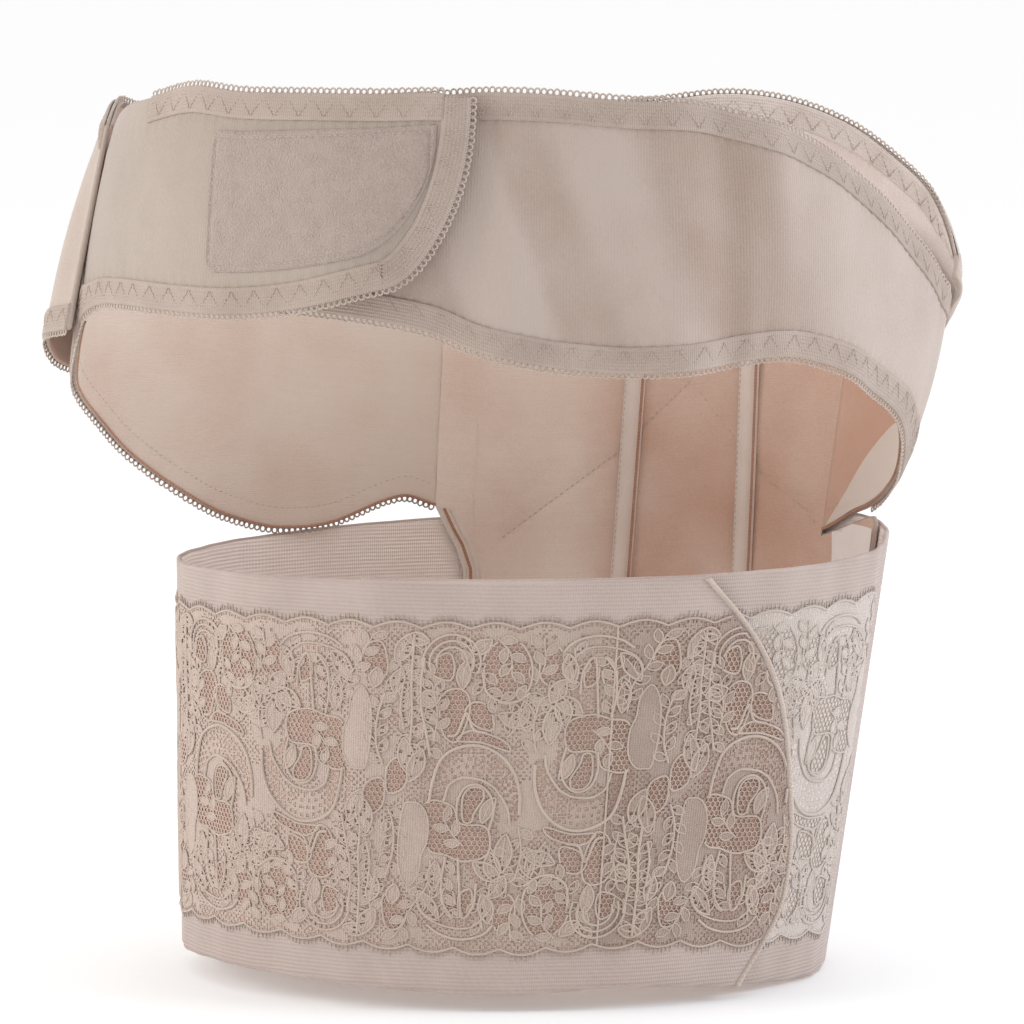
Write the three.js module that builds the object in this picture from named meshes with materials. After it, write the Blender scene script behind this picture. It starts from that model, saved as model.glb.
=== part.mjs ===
import * as THREE from "three";

// Maternity belt, mm, +Z up, front towards -Y
// The origin is the middle of the waist, between the upper wrap and the lower belt

// Walls and gaps
const CLOTH = 2;
const ELASTIC = 2;
const TAPE = 1;
const TAPE_WIDTH = 10;
const LACE = 0.8;
const PATCH = 1.2;
const SEAT = 0.4;
const SEAM = 0.3;

// Lower belt: an oval hoop that narrows towards its foot
const HOOP_TOP = -15;
const HOOP_FOOT = -174;
const HOOP_HALF_WIDTH = 138.2;
const HOOP_HALF_DEPTH = 85;
const HOOP_CENTRE = 7.8;
const HOOP_FLARE = 0.0748;
const HOOP_SHIFT = 0.0679;
const BELT_MEET = 63;
const BELT_TUCK = -118;
const OVERLAP_RISE = 4.6;
const OVERLAP_FULL = -122;
const OVERLAP_GONE = -190;
const BINDING_WIDTH = 3.2;

// Lace overlay: its edges as shares of the belt's height, and the scallops along them
const LACE_TOP_SHARE = 0.11;
const LACE_FOOT_SHARE = 0.887;
const SCALLOP_PITCH = 17.5;
const SCALLOP_DEPTH = 2.4;
const LACE_LEFT_STOP = -190;
const LACE_RIGHT_FROM = -13;
const LACE_RIGHT_TO = -57;
const LACE_CLEAR = 0.6;

// Boned back panel, which stands just inside the lower belt
const PANEL_INSET = -2.7;
const BAND_OUTSET = 0.3;
const PANEL_LEFT = 107;
const PANEL_RIGHT = 30.5;
const PANEL_FOOT = -145;
const PANEL_FOOT_LEFT = 100;
const PANEL_SEAM_ANGLE = 0.1;
const CASING_WIDTH = 8.5;
const RIDGE_HEIGHT = 2.4;
const CASING_EDGE = 0.9;

// Flap: rounded free end of the left wing
const END_LENGTH = 30;
const END_SHARE = 0.9;
const PATCH_START = 12.5;
const PATCH_END = 104;
const PATCH_LOW = 0.81;
const PATCH_CLEAR = 1.5;
const PATCH_SLANT = 4;
const PATCH_CORNER = 0.72;

// Outward bow of each strip between its edges, how far from a seam it reaches its full amount,
// and the length over which the band's bow grows from its flat front edge
const LEFT_BOW = 2;
const RIGHT_BOW = 3.5;
const BAND_BOW = 3.5;
const BAND_BOW_LENGTH = 14;
const CALM_LENGTH = 45;

// Rows of the tables below where a strip meets the panel, or where a tape starts or stops,
// and lengths by which a tape stops short
const LEFT_SEAM = 18;
const RIGHT_SEAM = 1;
const BAND_SEAM = 8;
const LEFT_FOLD = 8;
const TOP_TAPE_SHORT = 46;
const RIGHT_RIM = 3;
const RIGHT_SIDE = 4;
const BAND_TOP_SHORT = 12;
const BAND_LOWER_SHORT = 18;

// Inner leg of the outer band's folded tape: lengths where it starts to widen and where it is full,
// its least share, and the length over which it narrows again at the right
const TURN_IN_FROM = 30;
const TURN_IN_FULL = 80;
const TURN_IN_LEAST = 0.15;
const TURN_OUT_LENGTH = 25;

// Facets: lengths along the cloth, closer in the left fold and at the outer band's curled end,
// and numbers of facets
const STRIDE = 10;
const FOLD_STRIDE = 4.5;
const FOLD_FROM = 150;
const FOLD_TO = 255;
const BAND_CURL = 40;
const HOOP_STRIDE = 5;
const BELT_FACETS = 52;
const SCALLOP_FACETS = 4;
const LACE_FACETS = 3;
const WING_FACETS = 6;
const BAND_FACETS = 4;
const PATCH_FACETS = 5;
const PANEL_FACETS = 10;
const CASING_FACETS = 8;
const END_FACETS = 9;
const BINDING_FACETS = 14;
const STEP = 0.5;

const radians = THREE.MathUtils.degToRad;
const lerp = THREE.MathUtils.lerp;

// Bowed free end of the lower belt: angle round the hoop at each share of its height
const BELT_END = [
  { share: 0, angle: -62.3 },
  { share: 0.2, angle: -49.5 },
  { share: 0.45, angle: -41.5 },
  { share: 0.78, angle: -38 },
  { share: 1, angle: -47 },
];

// Height of the lower belt's upper and lower rim at each angle round the hoop
const BELT_TOP_EDGE = [
  { angle: -180, z: -17.6 },
  { angle: -150, z: -16.6 },
  { angle: -120, z: -15.8 },
  { angle: -90, z: -15 },
  { angle: -50, z: -14 },
  { angle: -20, z: -11.8 },
  { angle: 0, z: -7.5 },
  { angle: 20, z: -4 },
  { angle: 60, z: -8 },
  { angle: 106, z: -12 },
  { angle: 145, z: -16 },
  { angle: 180, z: -17.6 },
];
const BELT_FOOT_EDGE = [
  { angle: -180, z: -170.5 },
  { angle: -140, z: -169.5 },
  { angle: -90, z: -173.8 },
  { angle: -70, z: -171.8 },
  { angle: -46, z: -175.7 },
  { angle: -12, z: -179.5 },
  { angle: 20, z: -178 },
  { angle: 90, z: -174 },
  { angle: 180, z: -170.5 },
];

// Panel outline: its left edge below the wing, its upper edge, and its right edge below the wing
const PANEL_LEFT_EDGE = [
  { angle: PANEL_LEFT, z: -7 },
  { angle: 106.1, z: -11 },
  { angle: 104.9, z: -16.5 },
  { angle: 103.2, z: -23 },
  { angle: 101.5, z: -33 },
  { angle: 100.4, z: -60 },
  { angle: PANEL_FOOT_LEFT, z: PANEL_FOOT },
];
const PANEL_TOP_EDGE = [
  { angle: PANEL_LEFT, z: 142 },
  { angle: 70, z: 142 },
  { angle: 60, z: 141 },
  { angle: 50, z: 138 },
  { angle: 40, z: 127 },
  { angle: PANEL_RIGHT, z: 114 },
];
const PANEL_RIGHT_EDGE = [
  { angle: PANEL_RIGHT + PANEL_SEAM_ANGLE, z: -14 },
  { angle: 25, z: -10.5 },
  { angle: 19, z: -7 },
  { angle: 13, z: -4 },
  { angle: 9, z: -3 },
  { angle: 7, z: -5 },
  { angle: 6.6, z: -20 },
  { angle: 6.4, z: -140 },
];

// Boned casings: angle round the hoop at their upper and lower ends
const CASINGS = [
  { name: "bone_left", upper: 74.8, lower: 72.6, from: 140, to: -140 },
  { name: "bone_right", upper: 57, lower: 45, from: 138, to: -140 },
];

// Place on the hoop's middle surface, pushed outwards by out
function hoop(angle, z, out) {
  const rise = z - HOOP_TOP;
  const width = HOOP_HALF_WIDTH + rise * HOOP_FLARE + out;
  const depth = HOOP_HALF_DEPTH + out;
  const centre = HOOP_CENTRE + rise * HOOP_SHIFT;
  const turn = radians(angle);
  return new THREE.Vector3(centre + width * Math.cos(turn), depth * Math.sin(turn), z);
}

function hoopSection(angle, top, low, out) {
  return { top: hoop(angle, top, out).toArray(), low: hoop(angle, low, out).toArray() };
}

// Left wing, from the flap's free end round the left fold to the panel
const LEFT_ROWS = [
  { top: [-15, -118, 167], low: [-17, -119, 107] },
  { top: [-26, -118, 168.5], low: [-29, -119, 102] },
  { top: [-48, -114, 168], low: [-51, -116, 96] },
  { top: [-74, -105, 168], low: [-78, -107, 89] },
  { top: [-99, -92, 168], low: [-104, -93, 85.5] },
  { top: [-118, -76, 169.5], low: [-126, -77, 85.5] },
  { top: [-137, -52, 164], low: [-146, -55, 86] },
  { top: [-147, -33, 160], low: [-158, -34, 84] },
  { top: [-152.5, -15, 151.5], low: [-166, -19, 76] },
  { top: [-151.5, -3, 149], low: [-170, -12, 56] },
  { top: [-147.5, 9, 146], low: [-169, -3, 46.5] },
  { top: [-140, 25, 144], low: [-161.5, 8, 34.5] },
  { top: [-124, 41, 142], low: [-146, 24, 15.8] },
  { top: [-104, 54, 142], low: [-124, 40, -2.3] },
  { top: [-85, 64, 142], low: [-104.5, 50, -11] },
  { top: [-73, 69, 142], low: [-92, 54, -13.5] },
  { top: [-57, 73.5, 142], low: [-73.5, 64, -12.3] },
  { top: [-34.5, 77.6, 142], low: [-45, 75, -3] },
  hoopSection(PANEL_LEFT, 142, -7, PANEL_INSET),
  hoopSection(100, 142, -9, PANEL_INSET),
];

// Right wing, from the panel round the right side and across the front to its end under the flap
const RIGHT_ROWS = [
  hoopSection(37, 122, -13, PANEL_INSET),
  hoopSection(PANEL_RIGHT, 114, -12.5, PANEL_INSET),
  { top: [155.5, 24, 103], low: [136, 30, -4.5] },
  { top: [165, 11, 92.5], low: [141.5, 20, -0.5] },
  { top: [169, 1, 85.5], low: [146.5, 10, 5.5] },
  { top: [168.5, -6, 88], low: [150.5, -1, 15] },
  { top: [163.5, -12, 94], low: [151, -11, 27] },
  { top: [154, -28, 108.5], low: [147, -29, 42] },
  { top: [139.5, -52, 126.5], low: [135.5, -50, 53] },
  { top: [120, -75, 143.5], low: [120, -72, 64] },
  { top: [96.5, -92, 155.5], low: [100, -88, 69.5] },
  { top: [69, -106, 163.5], low: [71.5, -102, 66.5] },
  { top: [41.5, -113, 165.5], low: [42, -109, 65] },
  { top: [12, -114, 168], low: [12, -112, 68] },
  { top: [-10, -112, 168.5], low: [-13.5, -113, 74] },
  { top: [-34, -108, 166.5], low: [-32, -110, 81] },
  { top: [-60, -101, 165], low: [-58, -103, 85.5] },
  { top: [-88, -89, 163.5], low: [-86.5, -91, 88] },
];

// Outer band, from the left fold round the back to the right side
const BAND_ROWS = [
  { top: [-155.9, -16.3, 152.5], low: [-171.2, -21.3, 73.5] },
  { top: [-153.5, 3.5, 160.5], low: [-181.5, -1, 69] },
  { top: [-148.5, 18, 158.5], low: [-178.5, 13, 58] },
  { top: [-138, 35, 155], low: [-165, 34, 52] },
  { top: [-118, 54, 153], low: [-138, 57, 50] },
  { top: [-90, 69, 152], low: [-103, 74, 50] },
  { top: [-58, 80, 152], low: [-65, 82, 50] },
  hoopSection(PANEL_LEFT, 152, 50, BAND_OUTSET),
  hoopSection(90, 154, 50, BAND_OUTSET),
  hoopSection(75, 157.5, 51, BAND_OUTSET),
  { top: [87, 79, 160.5], low: [77, 75.5, 52] },
  { top: [111.5, 69.5, 158], low: [102, 66.5, 52] },
  { top: [134.5, 57.5, 149.5], low: [124, 54.5, 52] },
  { top: [151, 45, 138], low: [142, 44.5, 53] },
  { top: [166, 29, 123], low: [154, 29, 58] },
  { top: [173.5, 9, 101], low: [168, 11, 70] },
  { top: [171.5, 3, 92], low: [171, 4, 82] },
];

// Soft dents and ridges: length along the wing, spread, and push outwards at the upper and lower edge
const LEFT_FOLDS = [
  { at: 40, spread: 22, upper: 0, lower: 2.5 },
  { at: 135, spread: 14, upper: -1.5, lower: 1.5 },
  { at: 255, spread: 14, upper: 0, lower: 2 },
  { at: 290, spread: 12, upper: 0, lower: -2 },
  { at: 322, spread: 12, upper: 0, lower: 2 },
];
const RIGHT_FOLDS = [
  { at: 95, spread: 16, upper: 2, lower: 1 },
  { at: 160, spread: 18, upper: -2, lower: 2 },
  { at: 205, spread: 14, upper: 1, lower: -3 },
  { at: 238, spread: 13, upper: -1, lower: 3 },
  { at: 272, spread: 12, upper: 0, lower: -2 },
];

// Smooth values through rows of numbers at given knots
function smooth(knots, rows) {
  const slope = rows.map((row, i) => {
    const before = Math.max(i - 1, 0);
    const after = Math.min(i + 1, rows.length - 1);
    const span = knots[after] - knots[before];
    return row.map((_, k) => (rows[after][k] - rows[before][k]) / span);
  });
  return (s) => {
    let i = 0;
    while (i < knots.length - 2 && s > knots[i + 1]) i += 1;
    const span = knots[i + 1] - knots[i];
    const t = (s - knots[i]) / span;
    const rise = t * t * (3 - 2 * t);
    const leave = t * (1 - t) * (1 - t) * span;
    const arrive = t * t * (t - 1) * span;
    return rows[i].map(
      (value, k) =>
        value + (rows[i + 1][k] - value) * rise + slope[i][k] * leave + slope[i + 1][k] * arrive,
    );
  };
}

// Straight-line value of a table's column against another
function along(table, from, to, value) {
  let i = 0;
  const falling = table[table.length - 1][from] < table[0][from];
  const past = (limit) => (falling ? value < limit : value > limit);
  while (i < table.length - 2 && past(table[i + 1][from])) i += 1;
  const share = (value - table[i][from]) / (table[i + 1][from] - table[i][from]);
  return lerp(table[i][to], table[i + 1][to], share);
}

// Cloth strip through section rows: s runs along it in mm, v from its upper edge (0) to its lower (1)
// The bow and the folds die away towards a seam
function strip(rows, bow, folds, seamRow, bowLength = 0) {
  const flat = rows.map((row) => [...row.top, ...row.low]);
  const knots = [0];
  for (let i = 1; i < rows.length; i += 1) {
    const top = Math.hypot(...rows[i].top.map((value, k) => value - rows[i - 1].top[k]));
    const low = Math.hypot(...rows[i].low.map((value, k) => value - rows[i - 1].low[k]));
    knots.push(knots[i - 1] + (top + low) / 2);
  }
  const values = smooth(knots, flat);
  const outwards = (s) => {
    const a = values(s - STEP);
    const b = values(s + STEP);
    const x = b[0] + b[3] - a[0] - a[3];
    const y = b[1] + b[4] - a[1] - a[4];
    return new THREE.Vector3(-y, x, 0).normalize();
  };
  const point = (s, v) => {
    const f = values(s);
    const grown = bowLength === 0 ? 1 : THREE.MathUtils.smoothstep(s, 0, bowLength);
    let push = grown * bow * 4 * v * (1 - v);
    for (const fold of folds) {
      const away = (s - fold.at) / fold.spread;
      push += Math.exp(-away * away) * lerp(fold.upper, fold.lower, v);
    }
    const calm = THREE.MathUtils.smoothstep(Math.abs(s - knots[seamRow]), 0, CALM_LENGTH);
    const p = new THREE.Vector3(lerp(f[0], f[3], v), lerp(f[1], f[4], v), lerp(f[2], f[5], v));
    return p.addScaledVector(outwards(s), push * calm);
  };
  const height = (s) => point(s, 0).distanceTo(point(s, 1));
  return { knots, point, outwards, height };
}

// Place on a strip: its point, its outward normal and its two edge directions
function place(sheet, s, v) {
  const share = STEP / sheet.height(s);
  const p = sheet.point(s, v);
  const ds = sheet.point(s + STEP, v).sub(sheet.point(s - STEP, v)).divideScalar(2 * STEP);
  const dv = sheet.point(s, v + share).sub(sheet.point(s, v - share)).divideScalar(2 * share);
  const n = new THREE.Vector3().crossVectors(ds, dv).normalize();
  if (n.dot(sheet.outwards(s)) < 0) n.negate();
  return { p, n, ds, dv };
}

// Place a given distance to the side of a path on a strip, measured across the path along the cloth
function beside(sheet, path, i, distance) {
  const [s, v] = path[i];
  const before = path[Math.max(i - 1, 0)];
  const after = path[Math.min(i + 1, path.length - 1)];
  const here = place(sheet, s, v);
  const way = here.ds
    .clone()
    .multiplyScalar(after[0] - before[0])
    .addScaledVector(here.dv, after[1] - before[1])
    .normalize();
  const aside = new THREE.Vector3().crossVectors(here.n, way);
  const ss = here.ds.dot(here.ds);
  const sv = here.ds.dot(here.dv);
  const vv = here.dv.dot(here.dv);
  const as = aside.dot(here.ds);
  const av = aside.dot(here.dv);
  const det = ss * vv - sv * sv;
  const moveS = ((as * vv - av * sv) / det) * distance;
  const moveV = ((av * ss - as * sv) / det) * distance;
  return place(sheet, s + moveS, v + moveV);
}

// Closed thin body over a grid of places, between two distances along their normals
function plate(grid, inner, outer) {
  const rows = grid.length;
  const columns = grid[0].length;
  const side = rows * columns;
  const positions = [];
  for (const distance of [inner, outer]) {
    grid.forEach((line) => {
      line.forEach(({ p, n }, j) => {
        const reach = typeof distance === "function" ? distance(j) : distance;
        positions.push(...p.clone().addScaledVector(n, reach).toArray());
      });
    });
  }
  const faces = [];
  const quad = (a, b, c, d) => faces.push(a, b, c, a, c, d);
  for (let i = 0; i < rows - 1; i += 1) {
    for (let j = 0; j < columns - 1; j += 1) {
      const a = i * columns + j;
      quad(a, a + columns, a + columns + 1, a + 1);
      quad(side + a, side + a + 1, side + a + columns + 1, side + a + columns);
    }
  }
  for (let i = 0; i < rows - 1; i += 1) {
    const a = i * columns;
    const b = a + columns - 1;
    quad(a, side + a, side + a + columns, a + columns);
    quad(b, b + columns, side + b + columns, side + b);
  }
  for (let j = 0; j < columns - 1; j += 1) {
    const a = j;
    const b = (rows - 1) * columns + j;
    quad(a, a + 1, side + a + 1, side + a);
    quad(b, side + b, side + b + 1, b + 1);
  }
  const geometry = new THREE.BufferGeometry();
  geometry.setAttribute("position", new THREE.Float32BufferAttribute(positions, 3));
  if (volume(positions, faces) < 0) faces.reverse();
  geometry.setIndex(faces);
  geometry.computeVertexNormals();
  return geometry;
}

function volume(positions, faces) {
  const corner = (k) => new THREE.Vector3().fromArray(positions, faces[k] * 3);
  let sum = 0;
  for (let k = 0; k < faces.length; k += 3) {
    sum += corner(k).dot(corner(k + 1).cross(corner(k + 2)));
  }
  return sum;
}

// Even steps from one value to another, none longer than the stride
function steps(from, to, stride) {
  const count = Math.max(1, Math.ceil(Math.abs(to - from) / stride));
  return Array.from({ length: count + 1 }, (_, i) => lerp(from, to, i / count));
}

// Grid of places on a strip: at each length, evenly across between two edge shares
function gridOn(sheet, lengths, upper, lower, across) {
  return lengths.map((s) =>
    steps(0, across, 1).map((j) => place(sheet, s, lerp(upper(s), lower(s), j / across))),
  );
}

// Grid of places on the hoop: angle and height for each line and column
function gridOnHoop(lines, columns, where) {
  return lines.map((line) =>
    columns.map((column) => {
      const { angle, z, out } = where(line, column);
      const p = hoop(angle, z, out);
      const round = hoop(angle + STEP, z, out).sub(hoop(angle - STEP, z, out));
      const rise = hoop(angle, z + STEP, out).sub(hoop(angle, z - STEP, out));
      return { p, n: round.cross(rise).normalize() };
    }),
  );
}

const belt = new THREE.Group();
belt.name = "maternity_belt";

function add(name, geometry, finish) {
  const mesh = new THREE.Mesh(geometry, new THREE.MeshStandardMaterial({ ...finish, metalness: 0 }));
  mesh.name = name;
  belt.add(mesh);
}

const BRUSHED = { color: 0xc9aa98, roughness: 0.95 };
const RIBBED = { color: 0xcab5a8, roughness: 0.85 };
const PILE = { color: 0xb89a89, roughness: 1 };
const WEB = { color: 0xcdb8ad, roughness: 0.8 };
const NET = { color: 0xc2a997, roughness: 0.85 };
const CASING = { color: 0xcfbcb0, roughness: 0.7 };

const none = () => 0;
const full = () => 1;
const half = CLOTH / 2;

// Left wing with its flap
const left = strip(LEFT_ROWS, LEFT_BOW, LEFT_FOLDS, LEFT_SEAM);
const leftStop = left.knots[LEFT_SEAM] - SEAM / 2;
const quarterTurns = steps(0, Math.PI / 2, Math.PI / 2 / END_FACETS);
const endLengths = quarterTurns.map((turn) => END_LENGTH * (1 - Math.cos(turn)));
const leftLengths = [
  ...endLengths,
  ...steps(END_LENGTH, FOLD_FROM, STRIDE).slice(1),
  ...steps(FOLD_FROM, FOLD_TO, FOLD_STRIDE).slice(1),
  ...steps(FOLD_TO, leftStop, STRIDE).slice(1),
];
const endEdge = (s) => {
  const away = Math.max(0, 1 - s / END_LENGTH);
  return 1 - END_SHARE * (1 - Math.sqrt(1 - away * away));
};
add("left_wing", plate(gridOn(left, leftLengths, none, endEdge, WING_FACETS), -half, half), BRUSHED);

const tapeInner = half + SEAT;
const tapeOuter = tapeInner + TAPE;
const tapeShare = (sheet) => (s) => TAPE_WIDTH / sheet.height(s);
// Upper line of a tape along a lower edge: a slanting edge needs more height for the same width
const tapeUpperLine = (sheet) => (s) => {
  const { ds, dv } = place(sheet, s, 1);
  const slant = Math.sin(ds.angleTo(dv));
  return 1 - TAPE_WIDTH / (sheet.height(s) * slant);
};
const leftTopLengths = steps(TAPE_WIDTH + 2, left.knots[LEFT_FOLD] - TOP_TAPE_SHORT, STRIDE);
const leftTop = gridOn(left, leftTopLengths, none, tapeShare(left), 1);
add("left_top_tape", plate(leftTop, tapeInner, tapeOuter), RIBBED);

const leftEdgePath = [[0, 0], ...leftLengths.map((s) => [s, endEdge(s)])];
const leftEdge = leftEdgePath.map(([s, v], i) => [
  place(left, s, v),
  s < END_LENGTH ? beside(left, leftEdgePath, i, -TAPE_WIDTH) : place(left, s, tapeUpperLine(left)(s)),
]);
add("left_edge_tape", plate(leftEdge, tapeInner, tapeOuter), RIBBED);

// Loop patch on the flap, clear of the tapes round it
const patchUpper = (s) => {
  const slant = PATCH_SLANT * ((s - PATCH_START) / PATCH_END);
  return (TAPE_WIDTH + PATCH_CLEAR + slant) / left.height(s);
};
const patchLower = (s) => {
  const fromEnd = 1 - Math.min(1, (s - PATCH_START) / END_LENGTH);
  const corner = 1 - PATCH_CORNER * (1 - Math.sqrt(1 - fromEnd * fromEnd));
  return PATCH_LOW * corner;
};
const patchLengths = [
  ...endLengths.map((s) => s + PATCH_START),
  ...steps(END_LENGTH + PATCH_START, PATCH_END, STRIDE).slice(1),
];
const patch = gridOn(left, patchLengths, patchUpper, patchLower, PATCH_FACETS);
add("fastener_patch", plate(patch, half + SEAT, half + SEAT + PATCH), PILE);

// Boned back panel
const rightFoot = PANEL_RIGHT_EDGE[0].angle;
const panelAngles = [
  PANEL_LEFT - PANEL_SEAM_ANGLE,
  ...PANEL_LEFT_EDGE.slice(1).map((row) => row.angle),
  ...steps(PANEL_FOOT_LEFT, rightFoot + PANEL_SEAM_ANGLE, HOOP_STRIDE).slice(1),
  ...PANEL_RIGHT_EDGE.map((row) => row.angle),
];
const panelLow = (angle) => {
  if (angle <= PANEL_FOOT_LEFT) return PANEL_FOOT;
  return along(PANEL_LEFT_EDGE, "angle", "z", angle);
};
const panelTop = (angle) => {
  const edge = angle > rightFoot ? PANEL_TOP_EDGE : PANEL_RIGHT_EDGE;
  return along(edge, "angle", "z", angle);
};
const panel = gridOnHoop(panelAngles, steps(0, 1, 1 / PANEL_FACETS), (angle, share) => ({
  angle,
  z: lerp(panelTop(angle), panelLow(angle), share),
  out: PANEL_INSET,
}));
add("back_panel", plate(panel, -half, half), BRUSHED);

// Casings: flat edges with a rounded ridge along the middle, on the panel's inner face
const casingProfile = [
  { across: -0.5, high: CASING_EDGE },
  { across: -0.3, high: CASING_EDGE },
  { across: -0.18, high: RIDGE_HEIGHT },
  { across: 0.18, high: RIDGE_HEIGHT },
  { across: 0.3, high: CASING_EDGE },
  { across: 0.5, high: CASING_EDGE },
];
for (const { name, upper, lower, from, to } of CASINGS) {
  const grid = gridOnHoop(steps(0, 1, 1 / CASING_FACETS), casingProfile, (share, { across }) => {
    const z = lerp(from, to, share);
    const angle = lerp(upper, lower, share);
    const speed = hoop(angle + STEP, z, PANEL_INSET).distanceTo(hoop(angle - STEP, z, PANEL_INSET));
    return { angle: angle + (across * CASING_WIDTH * 2 * STEP) / speed, z, out: PANEL_INSET };
  });
  const face = -half - SEAT;
  add(name, plate(grid, (j) => face - casingProfile[j].high, face), CASING);
}

// Right wing
const right = strip(RIGHT_ROWS, RIGHT_BOW, RIGHT_FOLDS, RIGHT_SEAM);
const rightStart = right.knots[RIGHT_SEAM] + SEAM / 2;
const rightStop = right.knots[RIGHT_ROWS.length - 1];
const rightLengths = steps(rightStart, rightStop, STRIDE);
add("right_wing", plate(gridOn(right, rightLengths, none, full, WING_FACETS), -half, half), BRUSHED);
const rightTopLengths = steps(right.knots[RIGHT_SIDE], rightStop, STRIDE);
const rightTop = gridOn(right, rightTopLengths, none, tapeShare(right), 1);
add("right_top_tape", plate(rightTop, tapeInner, tapeOuter), RIBBED);
const rightLowLengths = steps(right.knots[RIGHT_RIM], rightStop, STRIDE);
const rightLow = gridOn(right, rightLowLengths, tapeUpperLine(right), full, 1);
add("right_lower_tape", plate(rightLow, tapeInner, tapeOuter), RIBBED);

// Outer band; its upper tape is folded over the edge, widely where the inner face shows
const band = strip(BAND_ROWS, BAND_BOW, [], BAND_SEAM, BAND_BOW_LENGTH);
const bandStop = band.knots[BAND_ROWS.length - 1];
const bandCurl = bandStop - BAND_CURL;
const bandLengths = [
  ...steps(0, BAND_BOW_LENGTH, FOLD_STRIDE),
  ...steps(BAND_BOW_LENGTH, bandCurl, STRIDE).slice(1),
  ...steps(bandCurl, bandStop, FOLD_STRIDE).slice(1),
];
add("outer_back_band", plate(gridOn(band, bandLengths, none, full, BAND_FACETS), -half, half), BRUSHED);
const bandTopLengths = bandLengths.filter((s) => s < bandStop - BAND_TOP_SHORT);
const foldOver = bandTopLengths.map((s) => {
  const edge = place(band, s, 0);
  const outside = place(band, s, tapeShare(band)(s));
  const turnIn = THREE.MathUtils.smoothstep(s, TURN_IN_FROM, TURN_IN_FULL);
  const turnOut = THREE.MathUtils.smoothstep(bandStop - BAND_TOP_SHORT - s, 0, TURN_OUT_LENGTH);
  const inside = place(band, s, tapeShare(band)(s) * lerp(TURN_IN_LEAST, 1, turnIn * turnOut));
  const up = edge.dv.clone().normalize().negate();
  const shift = (at, outwards, upwards) =>
    at.p.clone().addScaledVector(at.n, outwards).addScaledVector(up, upwards);
  return [
    { p: shift(outside, tapeInner, 0), n: outside.n },
    { p: shift(edge, tapeInner, SEAT), n: edge.n.clone().add(up) },
    { p: shift(edge, -tapeInner, SEAT), n: edge.n.clone().negate().add(up) },
    { p: shift(inside, -tapeInner, 0), n: inside.n.clone().negate() },
  ];
});
add("band_top_tape", plate(foldOver, 0, TAPE), RIBBED);
const bandLowLengths = bandLengths.filter((s) => s < bandStop - BAND_LOWER_SHORT);
const bandLow = gridOn(band, bandLowLengths, tapeUpperLine(band), full, 1);
add("band_lower_tape", plate(bandLow, tapeInner, tapeOuter), RIBBED);

// Lower belt: the left half ends in a bow on top of the right half
const endKnots = BELT_END.map((row) => row.share);
const endAngle = smooth(endKnots, BELT_END.map((row) => [row.angle]));
const rim = (table) => {
  const height = smooth(table.map((row) => row.angle), table.map((row) => [row.z]));
  return (angle) => height(angle < -180 ? angle + 360 : angle)[0];
};
const beltTop = rim(BELT_TOP_EDGE);
const beltFoot = rim(BELT_FOOT_EDGE);
const beltZ = (angle, share) => lerp(beltTop(angle), beltFoot(angle), share);
const rise = (angle) => OVERLAP_RISE * THREE.MathUtils.smoothstep(angle, OVERLAP_GONE, OVERLAP_FULL);
const meetLeft = BELT_MEET - 360 + PANEL_SEAM_ANGLE;
const leftBelt = (part, share) => {
  const angle = lerp(endAngle(share)[0], meetLeft, part);
  return { angle, z: beltZ(angle, share), out: rise(angle) };
};
const beltHalf = ELASTIC / 2;
const beltShares = [0, LACE_TOP_SHARE, 0.5, LACE_FOOT_SHARE, 1];
const leftBeltGrid = gridOnHoop(steps(0, 1, 1 / BELT_FACETS), beltShares, leftBelt);
add("lower_belt_left", plate(leftBeltGrid, -beltHalf, beltHalf), WEB);

const rightAngles = steps(BELT_MEET - PANEL_SEAM_ANGLE, BELT_TUCK, HOOP_STRIDE);
const rightBelt = (angle, share) => ({ angle, z: beltZ(angle, share), out: 0 });
const rightBeltGrid = gridOnHoop(rightAngles, beltShares, rightBelt);
add("lower_belt_right", plate(rightBeltGrid, -beltHalf, beltHalf), WEB);

// Binding along the bowed end, and the lace behind it
const onBelt = beltHalf + SEAT;
const reach = HOOP_HALF_WIDTH * radians(endAngle(0.5)[0] - meetLeft);
const bindingPart = BINDING_WIDTH / reach;
const binding = gridOnHoop([0, bindingPart], steps(0, 1, 1 / BINDING_FACETS), leftBelt);
add("end_binding", plate(binding, onBelt, onBelt + TAPE), RIBBED);

const scallop = (length) => SCALLOP_DEPTH * Math.abs(Math.sin((Math.PI * length) / SCALLOP_PITCH));
const laceShare = (share, length) => {
  const wave = scallop(length) / (HOOP_TOP - HOOP_FOOT);
  return lerp(LACE_TOP_SHARE - wave, LACE_FOOT_SHARE + wave, share);
};
const laceShares = steps(0, 1, 1 / LACE_FACETS);
const laceStride = SCALLOP_PITCH / SCALLOP_FACETS;
const laceStart = (BINDING_WIDTH + LACE_CLEAR) / reach;
const laceStop = (endAngle(0.5)[0] - LACE_LEFT_STOP) / (endAngle(0.5)[0] - meetLeft);
const leftLaceParts = steps(laceStart, laceStop, laceStride / reach);
const leftLace = gridOnHoop(leftLaceParts, laceShares, (part, share) =>
  leftBelt(part, laceShare(share, part * reach)),
);
add("lace_left", plate(leftLace, onBelt, onBelt + LACE), NET);

const rightLaceLengths = steps(
  radians(LACE_RIGHT_FROM) * HOOP_HALF_WIDTH,
  radians(LACE_RIGHT_TO) * HOOP_HALF_WIDTH,
  laceStride,
);
const rightLace = gridOnHoop(rightLaceLengths, laceShares, (length, share) =>
  rightBelt(THREE.MathUtils.radToDeg(length / HOOP_HALF_WIDTH), laceShare(share, length)),
);
add("lace_right", plate(rightLace, onBelt, onBelt + LACE), NET);

export default belt;
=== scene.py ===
import math

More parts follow.
